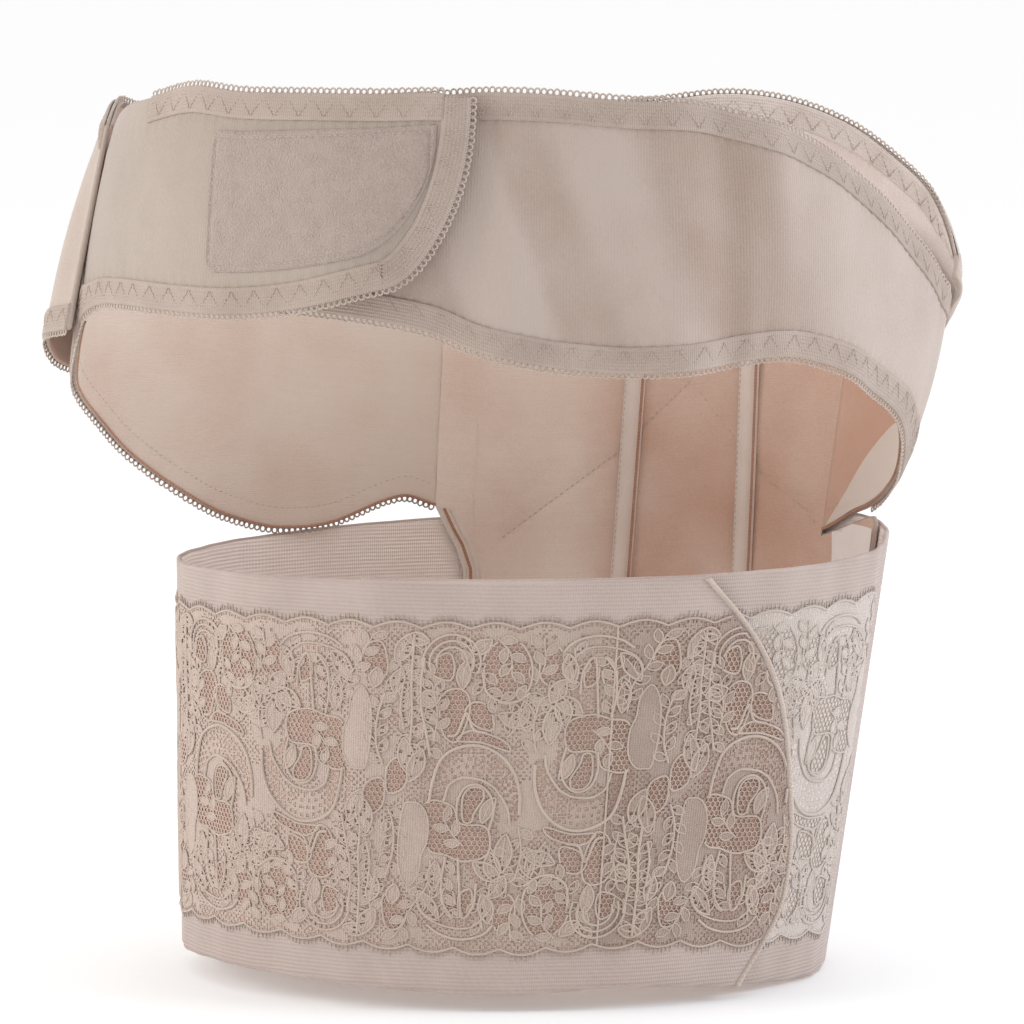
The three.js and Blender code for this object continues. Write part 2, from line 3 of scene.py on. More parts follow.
import bpy
import numpy as np
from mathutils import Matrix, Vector


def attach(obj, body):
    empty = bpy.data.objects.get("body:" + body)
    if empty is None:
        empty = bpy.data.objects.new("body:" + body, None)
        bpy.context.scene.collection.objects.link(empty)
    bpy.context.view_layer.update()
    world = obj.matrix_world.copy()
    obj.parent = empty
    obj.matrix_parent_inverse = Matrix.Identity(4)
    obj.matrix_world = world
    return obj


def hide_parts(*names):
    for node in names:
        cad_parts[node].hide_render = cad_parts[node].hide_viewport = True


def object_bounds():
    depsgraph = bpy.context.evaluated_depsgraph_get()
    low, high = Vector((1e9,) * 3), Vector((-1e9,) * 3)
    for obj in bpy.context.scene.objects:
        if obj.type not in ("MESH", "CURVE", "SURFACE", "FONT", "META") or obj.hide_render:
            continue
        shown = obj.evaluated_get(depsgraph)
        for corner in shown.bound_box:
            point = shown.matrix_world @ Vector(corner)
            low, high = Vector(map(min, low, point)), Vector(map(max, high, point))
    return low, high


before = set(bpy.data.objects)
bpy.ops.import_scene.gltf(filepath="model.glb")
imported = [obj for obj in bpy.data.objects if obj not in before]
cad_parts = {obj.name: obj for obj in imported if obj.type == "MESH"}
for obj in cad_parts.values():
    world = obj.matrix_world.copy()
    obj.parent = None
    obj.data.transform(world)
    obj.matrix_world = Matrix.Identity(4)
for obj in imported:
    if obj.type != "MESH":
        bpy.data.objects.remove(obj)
cad_low, cad_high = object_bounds()

# Sizes are in mm and become metres when a mesh is made
MM = 0.001

# Walls and gaps
CLOTH = 2.0
ELASTIC = 2.0
TAPE = 1.0
TAPE_WIDTH = 10.0
PATCH = 1.2
SEAT = 0.4
SEAM = 0.3
HALF = CLOTH / 2
ON_CLOTH = HALF + 0.1
ON_BELT = ELASTIC / 2 + SEAT

# Lower belt: an oval hoop that narrows towards its foot
HOOP_TOP = -15.0
HOOP_FOOT = -174.0
HOOP_HALF_WIDTH = 138.2
HOOP_HALF_DEPTH = 85.0
HOOP_CENTRE = 7.8
HOOP_FLARE = 0.0748
HOOP_SHIFT = 0.0679
BELT_HEIGHT = HOOP_TOP - HOOP_FOOT
BELT_MEET = 63.0
MEET_GAP = 0.1
BELT_TUCK = -118.0
OVERLAP_RISE = 4.6
OVERLAP_FULL = -122.0
OVERLAP_GONE = -190.0
BINDING_WIDTH = 3.2
BINDING_ANGLE = 1.7
BINDING_LIFT = 0.1
BINDING_ROUND = 0.6
WRAP_DEPTH = 0.2
WRAP_PITCH = 1.7
WRAP_SLANT = 0.8

# Lace overlay: its edges as shares of the belt's height, its scallops and its pattern repeat
LACE_TOP_SHARE = 0.11
LACE_FOOT_SHARE = 0.887
LACE_MIDDLE = (LACE_TOP_SHARE + LACE_FOOT_SHARE) / 2
LACE_HALF = (LACE_FOOT_SHARE - LACE_TOP_SHARE) / 2 * BELT_HEIGHT
SCALLOP_PITCH = 17.5
SCALLOP_DEPTH = 2.4
LACE_REPEAT = 105.0
LACE_PHASE = 20.0
LACE_LEVEL = -95.0
LACE_LEFT_FROM = -38.0
LACE_LEFT_STOP = -190.0
LACE_RIGHT_FROM = -13.0
LACE_RIGHT_TO = -57.0
LACE_SEAM_ANGLE = -76.0
LACE_SEAM_SLANT = 0.02
LACE_SEAM_LIFT = 0.4
LACE_SEAM_RIBBON = (0.4, 0.2)
LACE_SEAM_SEWN = 0.15
NET_PITCH = 2.0
NET_ROW = 0.866 * NET_PITCH
CELL = 0.65
EYELET = 0.72
EYELET_PITCH = 2.3
DOT = 0.5
DOT_PITCH = 1.8
OPEN_PITCH = 2.4
GROUND_LIFT = -0.18
PALE_GROUND_LIFT = -0.04
FRINGE_PITCH = 1.7
FRINGE_RADIUS = 0.2
OPEN_ABOVE = -0.1
POCKET_GROWTH = 1.3
FOLIAGE_PITCH = 3.4
GROUND_STEP = 1.75
GROUND_ROWS = 70
LACE_RIM = 0.4
CORD_LIFT = 0.25
NET_LIFT = 0.05
NET_THREAD = 0.34
FRINGE_LENGTH = 2.0
FRINGE_UNEVEN = 0.4
FRINGE_SWAY = 0.3
CLOTHWORK_LIFT = 0.04
RAISED_LIFT = 0.3
CLOTHWORK_BUMPS = 0.06

# Fillings of the lace
NET = 0
FLAT = 1
RAISED = 2

# Boned back panel
PANEL_INSET = -2.7
BAND_OUTSET = 0.3
PANEL_LEFT = 107.0
PANEL_RIGHT = 30.5
PANEL_FOOT = -145.0
PANEL_FOOT_LEFT = 100.0
CASING_WIDTH = 8.5
RIDGE_HEIGHT = 2.4
RIDGE_HALF = 2.9
CASING_EDGE = 0.9
CASING_SIDE = (-0.3, 0.6)
# Painted shadow line beside each casing: half width and height, and its lift
CASING_SHADOW_LINE = (0.55, 0.2)
CASING_SHADOW_LIFT = 0.1
GROOVE_DEPTH = 0.85
GROOVE_SPREAD = 2.2
BONE_GROOVE = 0.8
BONE_GROOVE_AT = 2.4
BONE_GROOVE_SPREAD = 0.9
HOLLOWS = 0.6
HOLLOWS_RISE = (-40, 10)
PANEL_CALM = 8
CHEVRON_LIFT = 0.12
EDGE_LINES_FOOT = -70
EDGE_LINE_HEIGHT = 0.4
FOOT_RIGHT = 6.8
FOOT_BELOW_EDGE = 0.8
FOOT_LIFT = 0.3

# Flap and its patch
END_LENGTH = 30.0
END_SHARE = 0.9
PATCH_START = 12.5
PATCH_END = 104.0
PATCH_LOW = 0.81
PATCH_CLEAR = 1.5
PATCH_SLANT = 4.0
PATCH_CORNER = 0.72
PATCH_BORDER = 2.4
PATCH_ROUND = 5.0
PATCH_LIFT = 0.15
PATCH_SIDE = (-0.4, 1.4)
PATCH_SEAM = 0.8
PATCH_SINK = 0.6
PATCH_TUFTS = 0.1
PATCH_STITCH_LIFT = 0.85

# Bows of the strips, the rows of their seams and folds, and where their tapes stop short or turn in
LEFT_BOW = 2.0
RIGHT_BOW = 3.5
BAND_BOW = 3.5
BAND_BOW_LENGTH = 14.0
CALM_LENGTH = 45.0
LEFT_SEAM = 18
RIGHT_SEAM = 1
BAND_SEAM = 8
LEFT_FOLD = 8
TOP_TAPE_SHORT = 46.0
RIGHT_RIM = 3
RIGHT_SIDE = 4
BAND_TOP_SHORT = 12.0
BAND_LOWER_SHORT = 18.0
TURN_IN_FROM = 30.0
TURN_IN_FULL = 80.0
TURN_IN_LEAST = 0.15
TURN_OUT_LENGTH = 25.0
# Brown line above a strip's lower edge, partly painted shadow: width and height
HEM_SHADOW_WIDTH = 0.6
HEM_SHADOW_HEIGHT = 0.35
HEM_SEWN = 8.5
SEWN_LIFT = 0.05

# Numbers of steps in the larger meshes
WING_ROWS = 50
RIGHT_WING_COLUMNS = 190
BAND_COLUMNS = 200
PATCH_ROWS = 60
PANEL_ROWS = 100
PANEL_COLUMNS = 90
PANEL_SIDE_COLUMNS = 26
CASING_ROWS = 110
CASING_COLUMNS = 27
BELT_ROWS = 60
LEFT_BELT_COLUMNS = 240
RIGHT_BELT_COLUMNS = 150
BINDING_ROWS = 420
BINDING_COLUMNS = 9
PICOT_POINTS = 9
LEAF_POINTS = 15
HOOP_STEPS = 2000

# Distance to either side in mm or degrees over which a slope is measured
STEP = 0.5

# Trim: ribs across a tape and its rounded sides, picot rings and stitches
RIBS = 8
RIB_DEPTH = 0.16
PICOT_PITCH = 2.4
PICOT_RADIUS = 1.05
PICOT_THREAD = 0.38
STITCH_RADIUS = 0.16
ZIGZAG_PITCH = 10.0
ZIGZAG_STITCHES = 6
ZIGZAG_SWING = [0.2, 0.42, 0.64, 0.86, 0.64, 0.42, 0.2]
ZIGZAG_GAP = 0.12
STITCH_LIFT = 0.06
STITCH_SHARES = [0, 0.2, 0.8, 1]
STITCH_TAPER = [0.25, 1, 1, 0.25]
TAPE_SINK = 0.05
TAPE_SIDE = (-0.6, 0.8)
EDGE_SPACING = 1.4
PICOT_REACH = 0.75
PICOT_LENGTH = 1.15
PICOT_UNEVEN = 0.12

# Rows of stitches: pitch, share of the pitch that a stitch takes, radius of its thread
HEM_STITCH = (2.6, 0.5, 0.16)
PATCH_STITCH = (2.5, 0.55, 0.2)
CHEVRON_STITCH = (2.7, 0.6, 0.26)
CASING_STITCH = (2.4, 0.55, 0.18)
LACE_SEAM_STITCH = (2.2, 0.6, 0.2)

# Puckers beside a sewn tape, and upright waves of the elastic (height, waves in a turn, lean)
PUCKER_FROM_EDGE = 11.5
PUCKER_SPREAD = 3.5
PUCKER_DEPTH = 0.22
PUCKER_PITCH = 5.2
BELT_WAVES = [(0.45, 15, 0.6), (0.25, 37, 2)]

# Share of the height and angle of the bowed free end of the lower belt
BELT_END = [(0, -62.3), (0.2, -49.5), (0.45, -41.5), (0.78, -38), (1, -47)]

# Angle and height of the lower belt's rims
BELT_TOP_EDGE = [
    (-180, -17.6), (-150, -16.6), (-120, -15.8), (-90, -15), (-50, -14), (-20, -11.8), (0, -7.5),
    (20, -4), (60, -8), (106, -12), (145, -16), (180, -17.6),
]
BELT_FOOT_EDGE = [
    (-180, -170.5), (-140, -169.5), (-90, -173.8), (-70, -171.8), (-46, -175.7), (-12, -179.5),
    (20, -178), (90, -174), (180, -170.5),
]

# Angle and height of the panel's edges
PANEL_LEFT_EDGE = [
    (107, -7), (106.1, -11), (104.9, -16.5), (103.2, -23), (101.5, -33), (100.4, -60), (100, PANEL_FOOT),
]
PANEL_TOP_EDGE = [(107, 142), (70, 142), (60, 141), (50, 138), (40, 127), (30.5, 114)]
PANEL_RIGHT_EDGE = [
    (30.6, -14), (25, -10.5), (19, -7), (13, -4), (9, -3), (7, -5), (6.6, -20), (6.4, -140),
]

# Casings: name, angle at the upper and lower end, height of both ends
CASINGS = [("bone_left", 74.8, 72.6, 140, -140), ("bone_right", 57, 45, 138, -140)]

# Lines along the panel's left edge: degrees inwards, half width and material
EDGE_LINES = [(0.3, 0.8, 2), (1.3, 0.6, 1), (2.6, 1.0, 2)]

# Chevron stitching on the panel: angle and height
CHEVRON = [
    (95.3, -21.5), (85.4, -3), (75.2, 16.2), (71.3, 27.4), (67.6, 36.6), (64.1, 44.9),
    (59.6, 33), (54.1, 20.4), (47.2, 5.7), (36.1, -5.5), (31.5, -12),
]

# Pale foot of the panel inside the right fold: height and angle of its left edge
FOOT_EDGE = [(-8, 27.5), (-20, 26), (-40, 24), (-70, 23)]

# Painted light on the inner face at the right fold, a pale sheet where the cloth turns to the light: row of
# the right wing and share where it starts
PAINTED_LIGHT_ROWS = [(1.1, 0.985), (1.6, 0.9), (2.1, 0.78), (2.8, 0.66), (3.6, 0.58), (5, 0.55), (6.5, 0.6)]
PAINTED_LIGHT_ABOVE_EDGE = 1.6
PAINTED_LIGHT_LIFT = 0.35

# Motifs of the lace, in mm from the middle of a set, x to the right and y up
# Arched band: its outer and inner edge
ARCH_OUTER = [
    (-9.7, -6), (-8.5, 3), (-5.6, 11.5), (0.5, 15.7), (8, 16.7), (15.3, 13.4), (20.8, 7),
    (23.6, -1.5), (24, -9.7),
]
ARCH_INNER = [
    (-4.2, -5), (-3.4, -1.5), (-2.3, 1.4), (2.3, 4.2), (8.8, 3.7), (12.4, 2), (15.3, -0.5),
    (19.4, -7), (20.8, -13.4),
]

# Outlines of the net pockets and of the long smooth leaf
POCKETS = [
    [(4.2, -10.6), (3.7, -4.2), (5.6, -1), (9, -1), (9.7, -4), (7.4, -8), (6.5, -11)],
    [
        (-7.9, -8.8), (-0.5, -9.3), (2.3, -14.4), (9.7, -15.3),
        (10.6, -23), (4.2, -25.5), (-1.4, -24), (-7, -21.8),
    ],
    [(-5.6, 33.8), (-2.3, 36.1), (1.4, 34.7), (2.3, 29.2), (-0.5, 20.8), (-4.2, 21.8), (-6, 27.3)],
    [(3.4, 29), (5.6, 32), (9.7, 31), (11.6, 26), (10.6, 23.8), (6, 25.5)],
    [(2, 18.4), (6, 21.5), (14.4, 19), (16.8, 15.5), (9, 18)],
    [(-9.7, 44.5), (-8.5, 49), (-5, 50.5), (-3.5, 46), (-4.8, 42.5)],
    [(9.5, 45), (10.5, 51), (15, 54.5), (20, 53), (23, 47), (22.5, 40), (18, 36), (12.5, 37.5)],
    [(-1.4, -39.4), (1, -41), (2, -47.7), (-0.5, -47.5), (-2.5, -43)],
    [(4.4, -41.2), (7.5, -40), (8, -46), (5.6, -48.5), (4, -45)],
    [(16.5, -44), (20, -41), (23.5, -44), (23, -51), (18.5, -52)],
    [(-24.5, -1), (-20, 0.5), (-19, 6), (-22, 9.5), (-25, 6)],
    [(-24.5, -45), (-20.5, -43), (-17, -47), (-18.5, -53), (-23, -53.5)],
]
LONG_LEAF = [
    (-19, -7.9), (-16.2, -6), (-12.5, -7), (-9.7, -12.5), (-9.7, -20.8),
    (-11.6, -26.4), (-12.5, -33.8), (-16.2, -38.4), (-19.5, -33), (-20.5, -22),
]

# Leaves: place, length, width, heading and hook in degrees
LEAVES = [
    (10.5, -13, 11, 4.6, 75, -30), (-15.6, 33, 9, 6.5, 15, 10), (-20, 19, 15, 6, -82, 15),
    (-13, 15, 14, 6, -105, -15), (8, -28, 13, 6, -35, 10), (14, -24, 12, 6, -80, 20),
    (19.5, -17, 15, 6.5, -95, 10), (20, -33, 10, 6, -115, -15), (0.5, 38, 11, 5, 88, -10),
    (14, 29, 13, 5.5, -25, 20), (18, 24, 10, 5.5, 40, 20), (-24, 48, 12, 6, 60, 25),
    (-24, 36, 10, 5, 80, -15), (-12, -40, 14, 6, -60, 20), (-6, -28, 12, 5, -95, 15),
    (12, -40, 12, 5.5, -70, -20), (-21, -38, 8, 5, -100, 0), (25, 22, 12, 5.5, 95, 15),
    (3, 52, 9, 5, 30, 20), (-12, 56, 9, 5, 165, 20),
]

# Cords that are no outline, with their radius
PLAIN_CORDS = [
    ([(1.4, -13.4), (0.9, -6), (3.2, 0), (8, 1.8), (12.5, -1.5), (14.5, -8), (13, -16)], 0.5),
    ([(-4, 20), (-0.5, 21), (2.6, 29), (5.5, 23), (10.5, 21.5)], 0.55),
    ([(-21, 40), (-21.5, 30), (-20, 22)], 0.45),
    ([(2.3, -26.4), (3.5, -38), (5.1, -49.5), (9, -45), (9.7, -36)], 0.5),
    ([(-8.5, -53), (-3, -56.5), (5, -58), (13, -56), (17, -52)], 0.5),
    ([(-13, -44), (-9, -50), (0, -53.5), (9, -53), (15, -47)], 0.4),
]

# Cords that also carry small leaves, thin stems with leaves, and rows of eyelets
LEAFY_CORDS = [
    ([(-17.6, 59), (-17.9, 40), (-17.2, 28), (-17.6, 16)], 0.5),
    ([(-13.5, 50), (-14.5, 40), (-13.8, 30), (-12, 22), (-10, 12)], 0.5),
    ([(-2.3, -26.4), (-3.5, -35), (-2.5, -44), (1.4, -50)], 0.5),
    ([(8, 46), (9, 38), (14, 34), (20, 33.5), (25, 37)], 0.5),
    ([(-25, -8), (-22.5, -16), (-22.5, -26), (-25, -36)], 0.45),
]
STEMS = [
    [(14, -22), (18, -30), (17, -38), (12, -44), (13, -54)], [(18, 20), (22, 26), (24, 34)],
    [(-9, 18), (-8, 28), (-10, 38)], [(24, -14), (25.5, -24), (24, -34)],
    [(-8, -28), (-9, -38), (-14, -46), (-20, -58)], [(2, 40), (4, 50), (2, 58)],
    [(-23, 54), (-22, 44), (-24, 34)], [(26, -40), (23, -48), (24, -58)],
    [(4, -22), (0, -18), (-4, -12)], [(12, 58), (17, 52), (18, 44)],
]
EYELET_ROWS = [
    [(-24.5, 32), (-23.5, 26), (-21, 21)], [(-16.2, 20), (-13.5, 16), (-11, 12)],
    [(-15.5, 38.5), (-12, 38), (-8.5, 37)], [(-15, 27), (-11.5, 25.5), (-8.5, 21)],
    [(6, -28), (10, -35), (15.5, -39)], [(-7.5, -31), (-6, -40), (-2.5, -49)],
    [(16, -28), (20, -30), (23.5, -27)], [(-24, -12), (-24.5, -22), (-23.2, -31)],
    [(-11, 8), (-12.5, 0), (-11.5, -5)], [(15.5, -20), (16, -12), (17, -8)],
    [(-8, -25), (-8.5, -14), (-10.5, -9)], [(12, 33), (18, 31.5), (24, 32)],
    [(-10, -46), (-4, -51), (6, -51.5), (13, -46)], [(-22, 44), (-20, 50), (-20, 56)],
    [(6, 34.5), (7, 42), (6.5, 50)],
]
ROSETTE = (-3.7, 48.5)
ROSETTE_RADII = [5.6, 8.0, 10.4]
ROSETTE_ARC = (-25, 205)
ROSETTE_EYELETS = ROSETTE_RADII[-1] - 1.2

# Radii of the lace's cords, and the small leaves: length, width, spread and hook in degrees
ARCH_CORD = 0.6
ARCH_INNER_CORD = 0.5
ARCH_EYELETS = (0.2, 0.42, 0.64, 0.86)
STEM_CORD = 0.36
LEAF_CORD = 0.42
VEIN_CORD = 0.3
SMALL_LEAF_CORD = 0.32
ROSETTE_CORD = 0.45
EDGE_CORD = 0.4
EDGE_CORD_STEP = 1.2
EDGE_CORD_INSET = 0.6
EDGE_DOT_INSET = 1.9
EDGE_DOT_PITCH = 1.7
LEAF_POINT = 0.85
SMALL_LEAF = (6.2, 3.2)
SMALL_LEAF_SPREAD = 55
SMALL_LEAF_HOOK = 35
SMALL_LEAF_POINTS = 8
EYELET_REACH = 7.2
DOTS_PAST_LEAF = 2.2
DOTS_BESIDE_CORD = [1.0, 0.0]

# Values that all fabrics share
SHEEN_ROUGHNESS = 0.45
SPECULAR = 0.2
GRAIN_SCALE = 1400.0
BUMP_STRENGTH = 0.9

# Light and camera, in metres, watts and degrees
SIDE_LIGHT = 0.35
ALL_ROUND_LIGHT = 0.66
BACK_LIGHT = 0.2
TOP_LIGHT = 0.3
SOFTBOXES = [
    ("right_box", (2.4, -0.2, 1.0), 1.2, 26, (0.86, 0.95, 1.08)),
    ("left_box", (-2.4, -0.4, 0.9), 1.2, 26, (1.0, 0.98, 0.95)),
]
FLOOR_HALF = 40
FLOOR_GAP = 0.0002
FLOOR_WHITE = (0.97, 0.97, 0.97, 1)
FLOOR_ROUGHNESS = 0.9
ELEVATION = math.radians(7)
DISTANCE = 2.0
FOCAL_PIXELS = 5100
PICTURE_PIXELS = 1024
SENSOR = 36
FAR_CLIP = 200


def smoothstep(x, low, high):
    t = np.clip((np.asarray(x, float) - low) / (high - low), 0, 1)
    return t * t * (3 - 2 * t)


def mix(a, b, t):
    return a + (b - a) * t


def unit(v):
    return v / np.maximum(np.linalg.norm(v, axis=-1, keepdims=True), 1e-9)


def lengths_of(p):
    return np.concatenate([[0], np.cumsum(np.linalg.norm(np.diff(p, axis=0), axis=1))])


# Values along a path again at given lengths
def at_lengths(values, along, at):
    return np.stack([np.interp(at, along, column) for column in values.T], axis=1)


# Corners of the squares between neighbouring places of a grid
def squares(index):
    near = index[..., :-1]
    far = index[..., 1:]
    return np.stack([near[..., :-1, :], near[..., 1:, :], far[..., 1:, :], far[..., :-1, :]], axis=-1)


# Stretches of a path whose points are all kept
def runs_of(keep):
    runs = np.split(np.arange(len(keep)), np.nonzero(np.diff(keep.astype(int)))[0] + 1)
    return [run for run in runs if keep[run[0]]]


# Place on the hoop's middle surface, pushed outwards by out
def hoop(angle, z, out):
    rise = z - HOOP_TOP
    turn = np.radians(angle)
    x = HOOP_CENTRE + rise * HOOP_SHIFT + (HOOP_HALF_WIDTH + rise * HOOP_FLARE + out) * np.cos(turn)
    y = (HOOP_HALF_DEPTH + out) * np.sin(turn)
    return np.stack(np.broadcast_arrays(x, y, z), axis=-1)


def hoop_place(angle, z, out):
    p = hoop(angle, z, out)
    way = hoop(angle + STEP, z, out) - hoop(angle - STEP, z, out)
    rise = hoop(angle, z + STEP, out) - hoop(angle, z - STEP, out)
    return p, unit(np.cross(way, rise))


def section(angle, top, low, out):
    return tuple(hoop(angle, top, out)), tuple(hoop(angle, low, out))


# Upper and lower edge of each strip of cloth, row by row
LEFT_ROWS = [
    ((-15, -118, 167), (-17, -119, 107)),
    ((-26, -118, 168.5), (-29, -119, 102)),
    ((-48, -114, 168), (-51, -116, 96)),
    ((-74, -105, 168), (-78, -107, 89)),
    ((-99, -92, 168), (-104, -93, 85.5)),
    ((-118, -76, 169.5), (-126, -77, 85.5)),
    ((-137, -52, 164), (-146, -55, 86)),
    ((-147, -33, 160), (-158, -34, 84)),
    ((-152.5, -15, 151.5), (-166, -19, 76)),
    ((-151.5, -3, 149), (-170, -12, 56)),
    ((-147.5, 9, 146), (-169, -3, 46.5)),
    ((-140, 25, 144), (-161.5, 8, 34.5)),
    ((-124, 41, 142), (-146, 24, 15.8)),
    ((-104, 54, 142), (-124, 40, -2.3)),
    ((-85, 64, 142), (-104.5, 50, -11)),
    ((-73, 69, 142), (-92, 54, -13.5)),
    ((-57, 73.5, 142), (-73.5, 64, -12.3)),
    ((-34.5, 77.6, 142), (-45, 75, -3)),
    section(PANEL_LEFT, 142, -7, PANEL_INSET),
    section(100, 142, -9, PANEL_INSET),
]
RIGHT_ROWS = [
    section(37, 122, -13, PANEL_INSET),
    section(PANEL_RIGHT, 114, -12.5, PANEL_INSET),
    ((155.5, 24, 103), (136, 30, -4.5)),
    ((165, 11, 92.5), (141.5, 20, -0.5)),
    ((169, 1, 85.5), (146.5, 10, 5.5)),
    ((168.5, -6, 88), (150.5, -1, 15)),
    ((163.5, -12, 94), (151, -11, 27)),
    ((154, -28, 108.5), (147, -29, 42)),
    ((139.5, -52, 126.5), (135.5, -50, 53)),
    ((120, -75, 143.5), (120, -72, 64)),
    ((96.5, -92, 155.5), (100, -88, 69.5)),
    ((69, -106, 163.5), (71.5, -102, 66.5)),
    ((41.5, -113, 165.5), (42, -109, 65)),
    ((12, -114, 168), (12, -112, 68)),
    ((-10, -112, 168.5), (-13.5, -113, 74)),
    ((-34, -108, 166.5), (-32, -110, 81)),
    ((-60, -101, 165), (-58, -103, 85.5)),
    ((-88, -89, 163.5), (-86.5, -91, 88)),
]
BAND_ROWS = [
    ((-155.9, -16.3, 152.5), (-171.2, -21.3, 73.5)),
    ((-153.5, 3.5, 160.5), (-181.5, -1, 69)),
    ((-148.5, 18, 158.5), (-178.5, 13, 58)),
    ((-138, 35, 155), (-165, 34, 52)),
    ((-118, 54, 153), (-138, 57, 50)),
    ((-90, 69, 152), (-103, 74, 50)),
    ((-58, 80, 152), (-65, 82, 50)),
    section(PANEL_LEFT, 152, 50, BAND_OUTSET),
    section(90, 154, 50, BAND_OUTSET),
    section(75, 157.5, 51, BAND_OUTSET),
    ((87, 79, 160.5), (77, 75.5, 52)),
    ((111.5, 69.5, 158), (102, 66.5, 52)),
    ((134.5, 57.5, 149.5), (124, 54.5, 52)),
    ((151, 45, 138), (142, 44.5, 53)),
    ((166, 29, 123), (154, 29, 58)),
    ((173.5, 9, 101), (168, 11, 70)),
    ((171.5, 3, 92), (171, 4, 82)),
]

# Soft dents and ridges: length along the cloth, spread, push outwards at the upper and lower edge
LEFT_FOLDS = [
    (40, 22, 0, 2.5), (135, 14, -1.5, 1.5), (255, 14, 0, 2), (290, 12, 0, -2), (322, 12, 0, 2),
    (118, 6, -0.6, 0.2), (148, 5, 0.5, -0.5), (272, 6, 0.2, 0.7), (345, 8, -0.3, -0.9),
    (372, 9, 0.3, 0.9), (398, 7, 0, -0.6),
]
RIGHT_FOLDS = [
    (95, 16, 2, 1), (160, 18, -2, 2), (205, 14, 1, -3), (238, 13, -1, 3), (272, 12, 0, -2),
    (202, 9, 2.4, 2.6), (225, 9, -2.6, -2.4), (214, 5, 0, 1.4), (306, 9, 1.8, 2.4),
    (246, 7, 0.4, 1.6), (262, 8, 0.6, -1.4), (284, 9, -1, 0.8),
]


# Smooth values through rows of numbers at given knots
def smooth(knots, rows):
    knots = np.array(knots, float)
    rows = np.array(rows, float)
    before = np.maximum(np.arange(len(rows)) - 1, 0)
    after = np.minimum(np.arange(len(rows)) + 1, len(rows) - 1)
    slope = (rows[after] - rows[before]) / (knots[after] - knots[before])[:, None]

    def value(s):
        s = np.asarray(s, float)
        i = np.clip(np.searchsorted(knots, s) - 1, 0, len(knots) - 2)
        span = knots[i + 1] - knots[i]
        t = (s - knots[i]) / span
        rise = (t * t * (3 - 2 * t))[..., None]
        leave = (t * (1 - t) ** 2 * span)[..., None]
        arrive = (t * t * (t - 1) * span)[..., None]
        return rows[i] + (rows[i + 1] - rows[i]) * rise + slope[i] * leave + slope[i + 1] * arrive

    return value


def curve_of(table):
    value = smooth([row[0] for row in table], [[row[1]] for row in table])
    return lambda x: value(x)[..., 0]


def line_of(table):
    rows = sorted(table)
    return lambda x: np.interp(x, [row[0] for row in rows], [row[1] for row in rows])


# Strip of cloth: s runs along it in mm, v from its upper edge (0) to its lower edge (1)
class Strip:
    def __init__(self, rows, bow, folds, seam_row, bow_length=0):
        flat = np.array([[*top, *low] for top, low in rows], float)
        steps = np.diff(flat, axis=0)
        gaps = (np.linalg.norm(steps[:, :3], axis=1) + np.linalg.norm(steps[:, 3:], axis=1)) / 2
        self.knots = np.concatenate([[0], np.cumsum(gaps)])
        self.values = smooth(self.knots, flat)
        self.bow = bow
        self.bow_length = bow_length
        self.folds = folds
        self.seam = self.knots[seam_row]

    def outwards(self, s):
        step = self.values(s + STEP) - self.values(s - STEP)
        x = step[..., 0] + step[..., 3]
        y = step[..., 1] + step[..., 4]
        return unit(np.stack([-y, x, np.zeros_like(x)], axis=-1))

    def point(self, s, v):
        s, v = np.broadcast_arrays(np.asarray(s, float), np.asarray(v, float))
        f = self.values(s)
        grown = smoothstep(s, 0, self.bow_length) if self.bow_length else 1.0
        push = grown * self.bow * 4 * v * (1 - v)
        for at, spread, upper, lower in self.folds:
            push = push + np.exp(-(((s - at) / spread) ** 2)) * mix(upper, lower, v)
        push = push * smoothstep(np.abs(s - self.seam), 0, CALM_LENGTH)
        return mix(f[..., :3], f[..., 3:], v[..., None]) + self.outwards(s) * push[..., None]

    def height(self, s):
        return np.linalg.norm(self.point(s, 1.0) - self.point(s, 0.0), axis=-1)

    def place(self, s, v):
        s, v = np.broadcast_arrays(np.asarray(s, float), np.asarray(v, float))
        share = STEP / self.height(s)
        p = self.point(s, v)
        ds = (self.point(s + STEP, v) - self.point(s - STEP, v)) / (2 * STEP)
        dv = (self.point(s, v + share) - self.point(s, v - share)) / (2 * share)[..., None]
        n = unit(np.cross(ds, dv))
        n = n * np.where((n * self.outwards(s)).sum(axis=-1) < 0, -1, 1)[..., None]
        return p, n, ds, dv

    # Share of the height that a tape takes along the upper edge, and its upper line along the lower edge
    def tape_share(self, s):
        return TAPE_WIDTH / self.height(s)

    def tape_line(self, s):
        _, _, ds, dv = self.place(s, 1.0)
        slant = np.linalg.norm(np.cross(unit(ds), unit(dv)), axis=-1)
        return 1 - TAPE_WIDTH / (self.height(s) * slant)

    # Points of a path again at even spacing along the cloth
    def even(self, path, spacing):
        path = np.array(path, float)
        along = lengths_of(self.point(path[:, 0], path[:, 1]))
        at = np.linspace(0, along[-1], max(2, int(round(along[-1] / spacing)) + 1))
        return at_lengths(path, along, at)

    # Place to the side of each point of a path, across it along the cloth
    def beside(self, path, distance):
        way = np.gradient(path, axis=0)
        _, n, ds, dv = self.place(path[:, 0], path[:, 1])
        along = unit(ds * way[:, :1] + dv * way[:, 1:])
        aside = np.cross(n, along)
        ss = (ds * ds).sum(axis=1)
        sv = (ds * dv).sum(axis=1)
        vv = (dv * dv).sum(axis=1)
        across_s = (aside * ds).sum(axis=1)
        across_v = (aside * dv).sum(axis=1)
        det = ss * vv - sv * sv
        move_s = (across_s * vv - across_v * sv) / det * distance
        move_v = (across_v * ss - across_s * sv) / det * distance
        return path + np.stack([move_s, move_v], axis=1)


